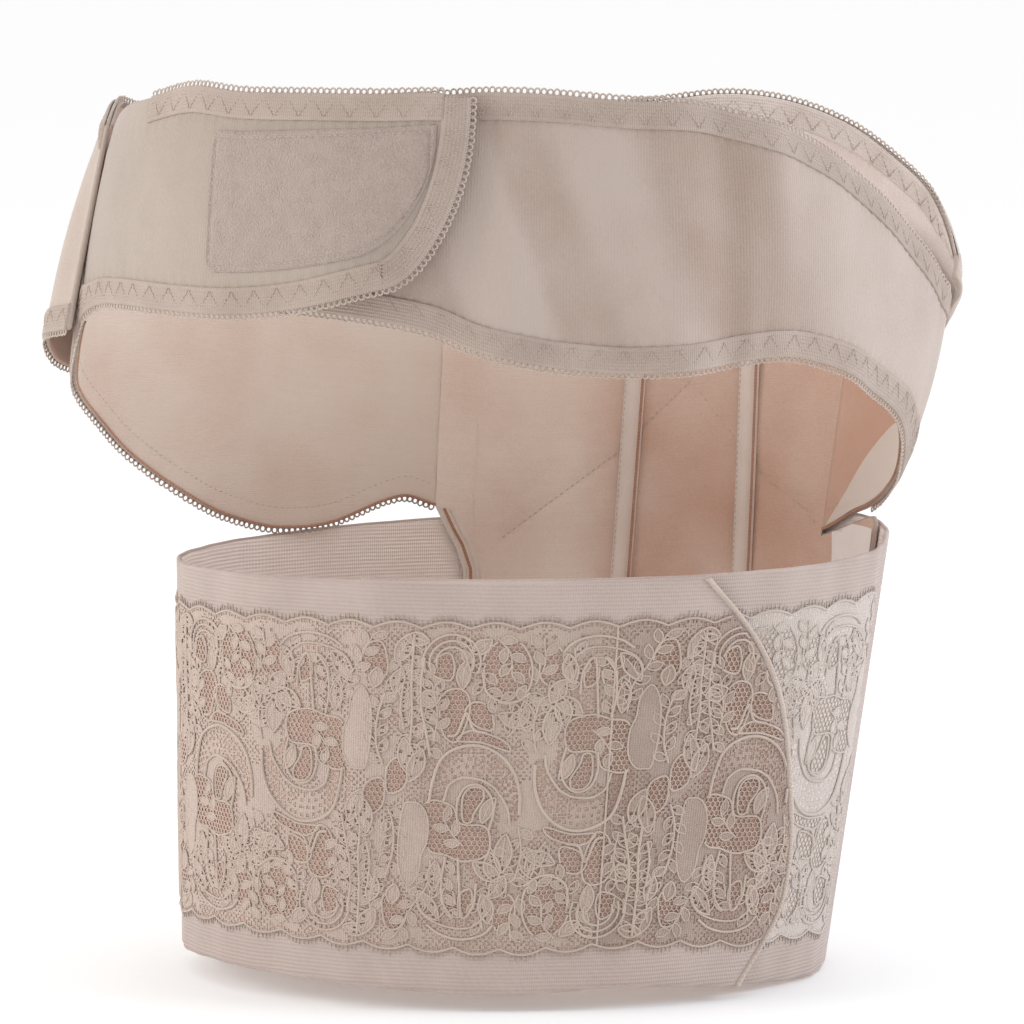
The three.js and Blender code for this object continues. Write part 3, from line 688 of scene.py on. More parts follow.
# Vertices, faces and UVs gathered into one mesh; UVs are metres along and across the cloth
class Joined:
    def __init__(self):
        self.points = []
        self.quads = []
        self.uvs = []
        self.slots = []
        self.count = 0

    def add(self, points, quads, uvs, slot=0):
        self.points.append(points.reshape(-1, 3))
        self.quads.append(quads.reshape(-1, 4) + self.count)
        self.uvs.append(uvs.reshape(-1, 2) * MM)
        self.slots.append(np.full(quads.size // 4, slot))
        self.count += points.size // 3

    def grid(self, points, uvs):
        lines, columns = points.shape[:2]
        self.add(points, squares(np.arange(lines * columns).reshape(lines, columns)), uvs)

    # Tubes round centre lines (tubes, points, 3), with half axes along two directions
    def tubes(self, centre, side, up, sides, slot=0, taper=1.0, half=False):
        count, length = centre.shape[:2]
        turn = np.linspace(0, np.pi, sides) if half else np.arange(sides) * 2 * np.pi / sides
        ring = side[:, :, None] * np.cos(turn)[:, None] + up[:, :, None] * np.sin(turn)[:, None]
        points = centre[:, :, None] + ring * np.reshape(taper, (-1, 1, 1))
        index = np.arange(count * length * sides).reshape(count, length, sides)
        if not half:
            index = np.concatenate([index, index[:, :, :1]], axis=2)
        steps = np.linalg.norm(np.diff(centre, axis=1), axis=2)
        along = np.concatenate([np.zeros((count, 1)), np.cumsum(steps, axis=1)], axis=1)
        uvs = np.stack(np.broadcast_arrays(along[:, :, None], turn), axis=-1)
        self.add(points, squares(index), uvs, slot)

    def piece(self, name, materials, slot, *nodes):
        points = np.concatenate(self.points) * MM
        quads = np.concatenate(self.quads)
        uvs = np.concatenate(self.uvs)
        mesh = bpy.data.meshes.new(name)
        mesh.vertices.add(len(points))
        mesh.vertices.foreach_set("co", points.ravel())
        mesh.loops.add(quads.size)
        mesh.loops.foreach_set("vertex_index", quads.ravel().astype(np.int32))
        mesh.polygons.add(len(quads))
        mesh.polygons.foreach_set("loop_start", np.arange(0, quads.size, 4, dtype=np.int32))
        mesh.polygons.foreach_set("use_smooth", np.ones(len(quads), bool))
        mesh.polygons.foreach_set("material_index", np.concatenate(self.slots).astype(np.int32))
        layer = mesh.uv_layers.new(name="UVMap")
        layer.data.foreach_set("uv", uvs[quads.ravel()].ravel())
        mesh.update(calc_edges=True)
        for material in materials:
            mesh.materials.append(material)
        made = bpy.data.objects.new(name, mesh)
        bpy.context.scene.collection.objects.link(made)
        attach(made, "root")
        if nodes:
            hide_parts(*nodes)
        return made


# Closed shell over a grid of places, with rounded upper and lower rims and capped ends
# The inner face takes the second material
def shell(joined, p, n, half, uvs):
    lines, columns = p.shape[:2]
    upper = unit(p[:, 0] - p[:, 1])[:, None]
    lower = unit(p[:, -1] - p[:, -2])[:, None]
    turn = np.radians([60, 120])[:, None]
    round_low = p[:, -1:] + half * (n[:, -1:] * np.cos(turn) + lower * np.sin(turn))
    round_up = p[:, :1] + half * (upper * np.sin(turn) - n[:, :1] * np.cos(turn))
    ring = np.concatenate([p + n * half, round_low, (p - n * half)[:, ::-1], round_up], axis=1)
    ring_uv = np.concatenate([uvs, uvs[:, -1:], uvs[:, -1:], uvs[:, ::-1], uvs[:, :1], uvs[:, :1]], axis=1)
    index = np.arange(ring.shape[0] * ring.shape[1]).reshape(ring.shape[:2])
    after = np.roll(index, -1, axis=1)
    sides = np.stack([index[:-1], index[1:], after[1:], after[:-1]], axis=-1)
    face = np.zeros(ring.shape[1], int)
    face[columns + 1:2 * columns + 1] = 1
    outer = np.arange(columns)
    inner = 2 * columns + 1 - outer
    cap = np.stack([outer[:-1], outer[1:], inner[1:], inner[:-1]], axis=1)
    cap = np.concatenate([
        cap,
        [[columns - 1, columns, columns + 1, columns + 2]],
        [[2 * columns + 1, 2 * columns + 2, 2 * columns + 3, 0]],
    ])
    quads = np.concatenate([sides.reshape(-1, 4), index[0][cap], index[-1][cap[:, ::-1]]])
    joined.add(ring, quads, ring_uv)
    joined.slots[-1] = np.concatenate([np.tile(face, lines - 1), np.zeros(2 * len(cap), int)])


def area_of(p):
    across = np.cross(p[1:, :-1] - p[:-1, :-1], p[:-1, 1:] - p[:-1, :-1])
    return float(np.linalg.norm(across, axis=-1).sum()) * MM * MM


# Short straight stitches lying on a surface, tapered at both ends
def stitches(joined, start, stop, n, radius, slot):
    share = np.array(STITCH_SHARES)
    centre = mix(start[:, None], stop[:, None], share[:, None])
    side = np.cross(n, unit(stop - start)) * radius
    side = np.repeat(side[:, None], len(share), axis=1)
    up = np.repeat(n[:, None] * radius, len(share), axis=1)
    joined.tubes(centre, side, up, 5, slot, taper=STITCH_TAPER)


# Row of stitches along a line of places
def dashes(joined, p, n, stitch, slot):
    pitch, share, radius = stitch
    along = lengths_of(p)
    at = np.arange(pitch / 2, along[-1] - pitch, pitch)
    start = at_lengths(p, along, at)
    stop = at_lengths(p, along, at + pitch * share)
    stitches(joined, start, stop, unit(at_lengths(n, along, at)), radius, slot)


# Ribbed tape between an edge path and an inner path of a strip, on one face of the cloth
def tape(joined, sheet, edge, inner, face=1.0):
    across = np.linspace(0, 1, RIBS * 4 + 1)
    s = mix(edge[:, :1], inner[:, :1], across)
    v = mix(edge[:, 1:], inner[:, 1:], across)
    p, n, _, _ = sheet.place(s, v)
    n = n * face
    border = np.minimum(across, 1 - across) * RIBS * 2
    ribs = RIB_DEPTH * np.cos(2 * np.pi * RIBS * across) - RIB_DEPTH
    high = (TAPE + ribs) * smoothstep(border, *TAPE_SIDE)
    top = p + n * (ON_CLOTH + high)[:, None]
    foot = p + n * (ON_CLOTH - TAPE_SINK)
    along = lengths_of(p[:, 0])
    uvs = np.stack(np.broadcast_arrays(along[:, None], across * TAPE_WIDTH), axis=-1)
    joined.grid(skirted(top, foot), skirted(uvs, uvs))
    zigzag(joined, top, n, along)


# Grid with its whole border carried down to a foot
def skirted(top, foot):
    rows = np.concatenate([foot[:, :1], top, foot[:, -1:]], axis=1)
    ends = np.concatenate([foot[:, :1], foot, foot[:, -1:]], axis=1)
    return np.concatenate([ends[:1], rows, ends[-1:]])


# Stitches that swing across a tape in steps
def zigzag(joined, top, n, along):
    k = np.arange(int(along[-1] / ZIGZAG_PITCH * ZIGZAG_STITCHES))
    swing = np.array(ZIGZAG_SWING)
    pitch = ZIGZAG_PITCH / ZIGZAG_STITCHES

    def spot(distance, share):
        row = np.interp(distance, along, np.arange(len(along)))
        i = np.clip(row.astype(int), 0, len(along) - 2)
        j = np.round(share * (top.shape[1] - 1)).astype(int)
        return mix(top[i, j], top[i + 1, j], (row - i)[:, None]), n[i, j]

    start, lift = spot((k + ZIGZAG_GAP) * pitch, swing[k % ZIGZAG_STITCHES])
    stop, _ = spot((k + 1 - ZIGZAG_GAP) * pitch, swing[k % ZIGZAG_STITCHES + 1])
    raised = lift * STITCH_LIFT
    stitches(joined, start + raised, stop + raised, lift, STITCH_RADIUS, 1)


# Picot rings along a line of places, reaching away from the cloth
def picot(joined, p, n, away):
    along = lengths_of(p)
    count = int(along[-1] / PICOT_PITCH)
    at = (np.arange(count) + 0.5) * along[-1] / count
    root = at_lengths(p, along, at)
    way = unit(np.gradient(root, axis=0))
    lift = unit(at_lengths(n, along, at))
    out = unit(np.cross(lift, way))
    out = out * np.where((out * at_lengths(away, along, at)).sum(axis=1) < 0, -1, 1)[:, None]
    middle = root + out * (PICOT_RADIUS * PICOT_REACH)
    turn = np.linspace(0, 2 * np.pi, PICOT_POINTS)
    uneven = 1 + PICOT_UNEVEN * np.sin(np.arange(count) * 2.4)[:, None]
    reach_way = PICOT_RADIUS * np.cos(turn) * np.ones((count, 1))
    reach_out = PICOT_LENGTH * PICOT_RADIUS * np.sin(turn) * uneven
    centre = middle[:, None] + way[:, None] * reach_way[..., None] + out[:, None] * reach_out[..., None]
    radial = unit(centre - middle[:, None]) * PICOT_THREAD
    up = np.repeat(lift[:, None] * PICOT_THREAD, len(turn), axis=1)
    joined.tubes(centre, radial, up, 4, 1)


# Tape with its picot edge; a second path adds a leg on the inner face
def trim(name, node, sheet, edge, inner, offset, turned=None):
    joined = Joined()
    tape(joined, sheet, edge, inner)
    if turned is not None:
        tape(joined, sheet, edge, turned, face=-1.0)
    p, n, _, _ = sheet.place(edge[:, 0], edge[:, 1])
    picot(joined, p + n * offset, n, p - sheet.point(inner[:, 0], inner[:, 1]))
    faces = [ribbed, thread] if turned is None else [folded_tape_painted_light, thread]
    return joined.piece(name, faces, "ribbed_tape", node)


def edge_path(sheet, start, stop, share):
    return sheet.even([(s, share) for s in np.linspace(start, stop, 400)], EDGE_SPACING)


def top_inner(sheet, path):
    return np.stack([path[:, 0], sheet.tape_share(path[:, 0])], axis=1)


def low_inner(sheet, path):
    return np.stack([path[:, 0], sheet.tape_line(path[:, 0])], axis=1)


def tone(red, green, blue):
    values = [c / 255 for c in (red, green, blue)]
    linear = [c / 12.92 if c <= 0.04045 else ((c + 0.055) / 1.055) ** 2.4 for c in values]
    return (*linear, 1.0)


# Fabric: two tones mottled by noise, and a weave with thread lines, fuzz, sheen and bump
# Fades (start and stop in mm along the cloth, amount) lead from one tone towards the other; most of them
# are painted light and painted shade
# Slant makes them lean down the cloth
def fabric(name, light, dark, weave, fades=(), slant=0.0):
    rough, sheen, lines, fuzz, relief, mottle = weave
    material = bpy.data.materials.new(name)
    material.use_nodes = True
    nodes = material.node_tree.nodes
    link = material.node_tree.links.new
    shader = nodes["Principled BSDF"]
    shader.inputs["Roughness"].default_value = rough
    shader.inputs["Sheen Weight"].default_value = sheen
    shader.inputs["Sheen Roughness"].default_value = SHEEN_ROUGHNESS
    shader.inputs["Specular IOR Level"].default_value = SPECULAR
    coordinates = nodes.new("ShaderNodeTexCoord")
    axes = nodes.new("ShaderNodeSeparateXYZ")
    link(coordinates.outputs["UV"], axes.inputs[0])

    def math_node(kind, a, b):
        node = nodes.new("ShaderNodeMath")
        node.operation = kind
        for socket, value in zip(node.inputs, (a, b)):
            if isinstance(value, (int, float)):
                socket.default_value = value
            else:
                link(value, socket)
        return node.outputs[0]

    def noise(scale, detail):
        node = nodes.new("ShaderNodeTexNoise")
        node.inputs["Scale"].default_value = scale
        node.inputs["Detail"].default_value = detail
        link(coordinates.outputs["Object"], node.inputs["Vector"])
        return node.outputs["Fac"]

    patchy = noise(mottle, 4.0)
    grain = noise(GRAIN_SCALE, 3.0)
    height = math_node("MULTIPLY", grain, fuzz)
    shade = math_node("MULTIPLY", math_node("SUBTRACT", patchy, 0.3), 1.1)
    shade = math_node("ADD", shade, math_node("MULTIPLY", math_node("SUBTRACT", grain, 0.5), 0.5))
    for axis_index, pitch, depth, tint in lines:
        phase = math_node("MULTIPLY", axes.outputs[axis_index], 2 * math.pi / (pitch * MM))
        wave = math_node("SINE", math_node("ADD", phase, math_node("MULTIPLY", patchy, 1.5)), 0.0)
        height = math_node("ADD", height, math_node("MULTIPLY", wave, depth))
        shade = math_node("SUBTRACT", shade, math_node("MULTIPLY", wave, tint))
    place = math_node("ADD", axes.outputs[0], math_node("MULTIPLY", axes.outputs[1], slant))
    for start, stop, amount in fades:
        ramp = nodes.new("ShaderNodeMapRange")
        ramp.interpolation_type = "SMOOTHSTEP"
        ramp.inputs["From Min"].default_value = start * MM
        ramp.inputs["From Max"].default_value = stop * MM
        ramp.inputs["To Max"].default_value = amount
        link(place, ramp.inputs["Value"])
        shade = math_node("ADD", shade, ramp.outputs["Result"])
    colours = nodes.new("ShaderNodeMix")
    colours.data_type = "RGBA"
    colours.clamp_factor = True
    colours.inputs["A"].default_value = tone(*light)
    colours.inputs["B"].default_value = tone(*dark)
    link(shade, colours.inputs["Factor"])
    link(colours.outputs["Result"], shader.inputs["Base Color"])
    bump = nodes.new("ShaderNodeBump")
    bump.inputs["Strength"].default_value = BUMP_STRENGTH
    bump.inputs["Distance"].default_value = relief * MM
    link(height, bump.inputs["Height"])
    link(bump.outputs["Normal"], shader.inputs["Normal"])
    return material


# Lace: u is the length round the hoop in mm, w the height above the lace's middle line
table_angle = np.linspace(20, -230, HOOP_STEPS)
table_u = lengths_of(hoop(table_angle, np.full(HOOP_STEPS, LACE_LEVEL), 2.0))


def angle_at(u):
    return np.interp(u, table_u, table_angle)


def u_at(angle):
    return float(np.interp(-angle, -table_angle, table_u))


seam_u = u_at(LACE_SEAM_ANGLE)

# Fades of the fabrics, most of them painted light and painted shade; one that has ended before the cloth
# starts shifts the whole tone
LACE_FADES = [(seam_u + 1, seam_u, 0.5), (u_at(-100), u_at(-135), -0.45)]
ALWAYS = (-2000, -1999)
# Insides: the wing's lining painted lighter towards its seam, the panel's lining painted light on the left
# and painted darker to the right, and the right wing's lining painted dark all over, as painted shade
# inside the belt
WING_LINING_PAINTED_LIGHT = [(*ALWAYS, 0.12), (300, 387, -0.3)]
PANEL_LINING_PAINTED_SHADE = [(205, 172, 0.55)]
RIGHT_LINING_PAINTED_SHADE = [(*ALWAYS, 0.65)]
# Painted shade and painted highlights of the front's folds, the flap's painted shadow beside its end, and
# the right side painted lighter where more light falls; they lean down the cloth
FRONT_PAINTED_FOLD_SHADING = [
    (346, 356, 0.3), (347, 336, -0.45), (328, 315, 0.55),
    (304, 288, -0.35), (276, 256, 0.6), (226, 196, -0.5),
]
FRONT_FOLD_SHADING_SLANT = 0.38
# The band's inner face and its turned-in tape: a near-white tone as painted light where that face lies in
# shade, fading into painted brown shade towards the band's start
BAND_BACK_PAINTED_SHADE = [(260, 150, 0.9)]
# Painted light on the band's front strip at the far left, which lies in shade
BAND_FRONT_PAINTED_LIGHT = [(60, 20, -0.15)]

# Thread lines of the weaves: axis along (0) or across (1) the cloth, pitch in mm, depth and tint
KNIT_LINES = [(0, 1.1, 0.12, 0.04)]
BACKING_LINES = [(1, 0.9, 0.15, 0.05)]
CROSSED_LINES = [(1, 1.1, 0.4, 0.2), (0, 1.1, 0.4, 0.2)]
TAPE_LINES = [(0, 0.8, 0.4, 0.18)]
TWIST_LINES = [(0, 0.7, 0.5, 0.15)]
ELASTIC_LINES = [(1, 1.5, 0.6, 0.2), (0, 0.9, 0.3, 0.1)]
CLOTHWORK_LINES = [(0, 0.9, 0.3, 0.1), (1, 0.7, 0.2, 0.06)]

# Weaves: roughness, sheen, thread lines, fuzz, relief in mm and scale of the mottling
KNIT = (0.95, 0.3, KNIT_LINES, 0.8, 0.3, 22)
PALE_KNIT = (0.95, 0.2, KNIT_LINES, 0.8, 0.3, 26)
BACKING = (0.9, 0.25, BACKING_LINES, 0.5, 0.2, 22)
TAPE_WEAVE = (0.85, 0.2, TAPE_LINES, 0.4, 0.2, 45)
SEWING = (0.7, 0.3, TWIST_LINES, 0.3, 0.1, 45)
PILE = (1.0, 0.5, [], 2.2, 0.7, 160)
ELASTIC_FACE = (0.8, 0.2, ELASTIC_LINES, 0.3, 0.22, 30)
ELASTIC_BACK = (0.8, 0.2, ELASTIC_LINES, 0.3, 0.2, 30)
NET_GROUND = (0.9, 0.1, CROSSED_LINES, 0.3, 0.2, 45)
CLOTHWORK = (0.85, 0.2, CLOTHWORK_LINES, 1.2, 0.25, 40)
PALE_CLOTHWORK = (0.85, 0.2, CLOTHWORK_LINES, 1.2, 0.25, 60)
TWIST = (0.75, 0.2, TWIST_LINES, 0.4, 0.05, 90)
CASING_WEAVE = (0.6, 0.2, [(1, 0.6, 0.4, 0.1)], 0.3, 0.15, 45)
HEM_WEAVE = (0.8, 0.1, [(0, 1.4, 0.5, 0.2)], 0.4, 0.15, 45)

# The front cloth carries painted shade and painted highlights of its folds through its fades
front_cloth_painted_folds = fabric("front_cloth_painted_folds", (186, 170, 160), (154, 130, 116), KNIT, FRONT_PAINTED_FOLD_SHADING, FRONT_FOLD_SHADING_SLANT)
flap_cloth = fabric("flap_cloth", (176, 162, 151), (144, 128, 117), KNIT)
brushed = fabric("brushed_cloth", (184, 166, 155), (150, 131, 120), KNIT)
band_front_painted_light = fabric("band_front_painted_light", (188, 172, 161), (158, 140, 129), KNIT, BAND_FRONT_PAINTED_LIGHT)
pale_and_painted_light = fabric("pale_cloth_and_painted_light", (224, 211, 201), (206, 190, 179), PALE_KNIT)
pale_foot = fabric("pale_foot", (242, 235, 230), (230, 220, 213), PALE_KNIT)
# Near-white inner face of the band: painted light on a face that lies in shade
band_back_painted_light = fabric("band_back_painted_light", (236, 228, 223), (190, 160, 145), PALE_KNIT, BAND_BACK_PAINTED_SHADE)
# The linings carry painted light and painted shade of the inside through their tones and fades
lining = fabric("lining_cloth", (219, 204, 191), (195, 165, 148), BACKING, WING_LINING_PAINTED_LIGHT)
panel_lining = fabric("panel_lining", (234, 221, 209), (202, 163, 143), BACKING, PANEL_LINING_PAINTED_SHADE)
right_lining = fabric("right_lining", (232, 211, 196), (202, 163, 143), BACKING, RIGHT_LINING_PAINTED_SHADE)
ribbed = fabric("ribbed_tape", (186, 169, 158), (154, 135, 123), TAPE_WEAVE)
folded_tape_painted_light = fabric("folded_tape_painted_light", (224, 214, 208), (178, 161, 150), TAPE_WEAVE, BAND_BACK_PAINTED_SHADE)
thread = fabric("thread", (200, 184, 172), (174, 154, 141), SEWING)
pile = fabric("loop_pile", (185, 167, 156), (166, 147, 136), PILE)
web = fabric("elastic_web", (194, 177, 169), (172, 153, 144), ELASTIC_FACE)
# The elastic's inner face is near white: painted light that lifts the shaded inside of the belt
inner_web_painted_light = fabric("elastic_back_painted_light", (250, 238, 231), (236, 219, 210), ELASTIC_BACK)
# Lace ground: pinkish layer colour with painted shade for the holes
ground_and_hole_shade = fabric("lace_ground", (192, 165, 151), (158, 129, 116), NET_GROUND, LACE_FADES)
pale_ground = fabric("lace_ground_pale", (218, 205, 197), (206, 191, 182), NET_GROUND)
toile = fabric("lace_toile", (192, 173, 161), (158, 138, 127), CLOTHWORK, LACE_FADES)
pale_toile = fabric("lace_toile_pale", (204, 191, 183), (190, 175, 166), PALE_CLOTHWORK)
cord = fabric("lace_cord", (194, 176, 163), (172, 152, 140), TWIST)
pale_cord = fabric("lace_cord_pale", (198, 185, 176), (182, 167, 158), TWIST)
net = fabric("lace_net", (200, 176, 162), (178, 151, 137), TWIST)
casing = fabric("casing_web", (232, 218, 208), (214, 196, 184), CASING_WEAVE)
# Brown of the hems, also the colour of painted shadow lines
hem_and_shadow = fabric("hem_and_shadow_thread", (182, 142, 120), (148, 108, 88), HEM_WEAVE)

left = Strip(LEFT_ROWS, LEFT_BOW, LEFT_FOLDS, LEFT_SEAM)
right = Strip(RIGHT_ROWS, RIGHT_BOW, RIGHT_FOLDS, RIGHT_SEAM)
band = Strip(BAND_ROWS, BAND_BOW, [], BAND_SEAM, BAND_BOW_LENGTH)
left_stop = left.knots[LEFT_SEAM] + SEAM / 2
right_start = right.knots[RIGHT_SEAM] - SEAM / 2
right_stop = right.knots[-1]
band_stop = band.knots[-1]


def end_edge(s):
    away = np.maximum(0, 1 - np.asarray(s, float) / END_LENGTH)
    return 1 - END_SHARE * (1 - np.sqrt(1 - away * away))


# Fine puckers of the cloth beside its sewn tapes
def puckers(s, upper, lower):
    near = sum(np.exp(-(((d - PUCKER_FROM_EDGE) / PUCKER_SPREAD) ** 2)) for d in (upper, lower))
    return PUCKER_DEPTH * near * np.sin(2 * np.pi * s / PUCKER_PITCH + 1.3 * np.sin(s / 17))


# Cloth of a strip as a closed sheet, with its rims inside the strip's edges
def wing(name, node, sheet, s, lower, materials):
    high = sheet.height(s)[:, None]
    v = mix(HALF / high, lower[:, None] - HALF / high, np.linspace(0, 1, WING_ROWS))
    s2 = np.broadcast_to(s[:, None], v.shape)
    p, n, _, _ = sheet.place(s2, v)
    p = p + n * puckers(s2, v * high, (1 - v) * high)[..., None]
    joined = Joined()
    shell(joined, p, n, HALF, np.stack([s2, v * high], axis=-1))
    return joined.piece(name, materials, "brushed_cloth", node), area_of(p)


# Flat ribbon along a line of places
def ribbon(joined, p, n, half_width, half_height, slot=0):
    way = unit(np.gradient(p, axis=0))
    joined.tubes(p[None], np.cross(n, way)[None] * half_width, n[None] * half_height, 8, slot)


# Brown line on the inner face above a strip's lower edge, partly real hem and partly painted shadow under
# the edge, with a row of stitches beside it
def hem_shadow_line(name, sheet, start, stop):
    s = np.linspace(start, stop, 300)
    high = sheet.height(s)
    joined = Joined()
    p, n, _, _ = sheet.place(s, 1 - HEM_SHADOW_WIDTH / high)
    ribbon(joined, p - n * ON_CLOTH, n, HEM_SHADOW_WIDTH, HEM_SHADOW_HEIGHT)
    q, m, _, _ = sheet.place(s, 1 - HEM_SEWN / high)
    dashes(joined, q - m * (HALF + SEWN_LIFT), -m, HEM_STITCH, 1)
    return joined.piece(name, [hem_and_shadow, thread], "ribbed_tape")


def make_left_wing():
    turns = np.linspace(0, np.pi / 2, 40)
    end_s = END_LENGTH * (1 - np.cos(turns))
    s = np.concatenate([end_s, np.arange(END_LENGTH + 1.5, left_stop, 1.8), [left_stop]])
    cloth, area = wing("left_wing_cloth", "left_wing", left, s, end_edge(s), [flap_cloth, lining])
    path = edge_path(left, TAPE_WIDTH + 0.5, left.knots[LEFT_FOLD] - TOP_TAPE_SHORT, 0)
    top = trim("left_top_trim", "left_top_tape", left, path, top_inner(left, path), HALF)
    path = [(0, v) for v in np.linspace(0, 1 - END_SHARE, 6)[:-1]]
    path += [(at, end_edge(at)) for at in END_LENGTH * (1 - np.cos(np.linspace(0, np.pi / 2, 80)))]
    path += [(at, 1) for at in np.linspace(END_LENGTH, left_stop, 400)[1:]]
    path = left.even(path, 1.2)
    inner = left.beside(path, -TAPE_WIDTH)
    straight = path[:, 0] >= END_LENGTH
    inner[straight] = low_inner(left, path[straight])
    edge = trim("left_edge_trim", "left_edge_tape", left, path, inner, HALF)
    hem_shadow_piece = hem_shadow_line("left_hem_shadow", left, left.knots[LEFT_FOLD], left_stop)
    pieces = [top, edge, hem_shadow_piece, make_patch(end_s)]


def far_corner(s):
    near = np.clip((s - PATCH_END + PATCH_ROUND) / PATCH_ROUND, 0, 1)
    return PATCH_ROUND * (1 - np.sqrt(1 - near * near))


def patch_upper(s):
    slant = PATCH_SLANT * (s - PATCH_START) / PATCH_END
    return (TAPE_WIDTH + PATCH_CLEAR + slant + far_corner(s)) / left.height(s)


def patch_lower(s):
    from_end = 1 - np.minimum(1, (s - PATCH_START) / END_LENGTH)
    low = PATCH_LOW * (1 - PATCH_CORNER * (1 - np.sqrt(1 - from_end * from_end)))
    return low - far_corner(s) / left.height(s)


# Loop patch on the flap: pile that sinks at its sewn border
def make_patch(end_s):
    straight = np.arange(PATCH_START + END_LENGTH + 1, PATCH_END - PATCH_ROUND, 1.2)
    corner = PATCH_END - PATCH_ROUND * (1 - np.sin(np.linspace(0, np.pi / 2, 14)))
    s = np.concatenate([PATCH_START + end_s, straight, corner])
    v = mix(patch_upper(s)[:, None], patch_lower(s)[:, None], np.linspace(0, 1, PATCH_ROWS))
    s2 = np.broadcast_to(s[:, None], v.shape)
    high = left.height(s)[:, None]
    p, n, _, _ = left.place(s2, v)
    down = v * high
    to_rims = np.minimum(down - down[:, :1], down[:, -1:] - down)
    inside = np.minimum(to_rims, np.minimum(s2 - PATCH_START, PATCH_END - s2))
    sewn = np.exp(-(((inside - PATCH_BORDER) / PATCH_SEAM) ** 2))
    tufts = np.sin(s2 * 3.1 + 2 * np.sin(down * 0.9)) * np.sin(down * 2.3 + 1.5 * np.sin(s2 * 0.7))
    pillow = PATCH * smoothstep(inside, *PATCH_SIDE) - PATCH_SINK * sewn
    lift = HALF + PATCH_LIFT + pillow + PATCH_TUFTS * tufts
    joined = Joined()
    uvs = np.stack([s2, down], axis=-1)
    joined.grid(skirted(p + n * lift[..., None], p + n * HALF), skirted(uvs, uvs))
    far = PATCH_END - PATCH_BORDER
    upper = np.linspace(PATCH_START + 4, far, 120)
    lower = np.linspace(far, PATCH_START + 6, 120)
    border = [(at, patch_upper(at) + PATCH_BORDER / left.height(at)) for at in upper]
    border += [(far, at) for at in np.linspace(patch_upper(far) + 0.03, PATCH_LOW - 0.03, 60)]
    border += [(at, patch_lower(at) - PATCH_BORDER / left.height(at)) for at in lower]
    border = left.even(border, 1.0)
    q, m, _, _ = left.place(border[:, 0], border[:, 1])
    dashes(joined, q + m * (HALF + PATCH_STITCH_LIFT), m, PATCH_STITCH, 1)
    return joined.piece("fastener_pile", [pile, thread], "loop_pile", "fastener_patch")


chevron_angle, chevron_z = np.array(CHEVRON, float).T


# Grooves along the chevron and beside the bones, and soft hollows between, all gone at the side seams
def panel_relief(angle, z):
    line = np.interp(angle, chevron_angle[::-1], chevron_z[::-1], left=-200, right=-200)
    groove = np.exp(-(((z - line) / GROOVE_SPREAD) ** 2))
    for _, upper, lower, start, stop in CASINGS:
        at = mix(upper, lower, (start - z) / (start - stop))
        beside = (np.abs(angle - at) - BONE_GROOVE_AT) / BONE_GROOVE_SPREAD
        groove = groove + BONE_GROOVE * np.exp(-(beside ** 2))
    soft = HOLLOWS * np.sin(np.radians(angle) * 21 + z / 30) * np.sin(z / 19 + angle / 11)
    calm = smoothstep(PANEL_LEFT - angle, 0, PANEL_CALM) * smoothstep(angle - PANEL_RIGHT, 0, PANEL_CALM)
    return (GROOVE_DEPTH * np.minimum(groove, 1) + soft * smoothstep(z, *HOLLOWS_RISE)) * calm


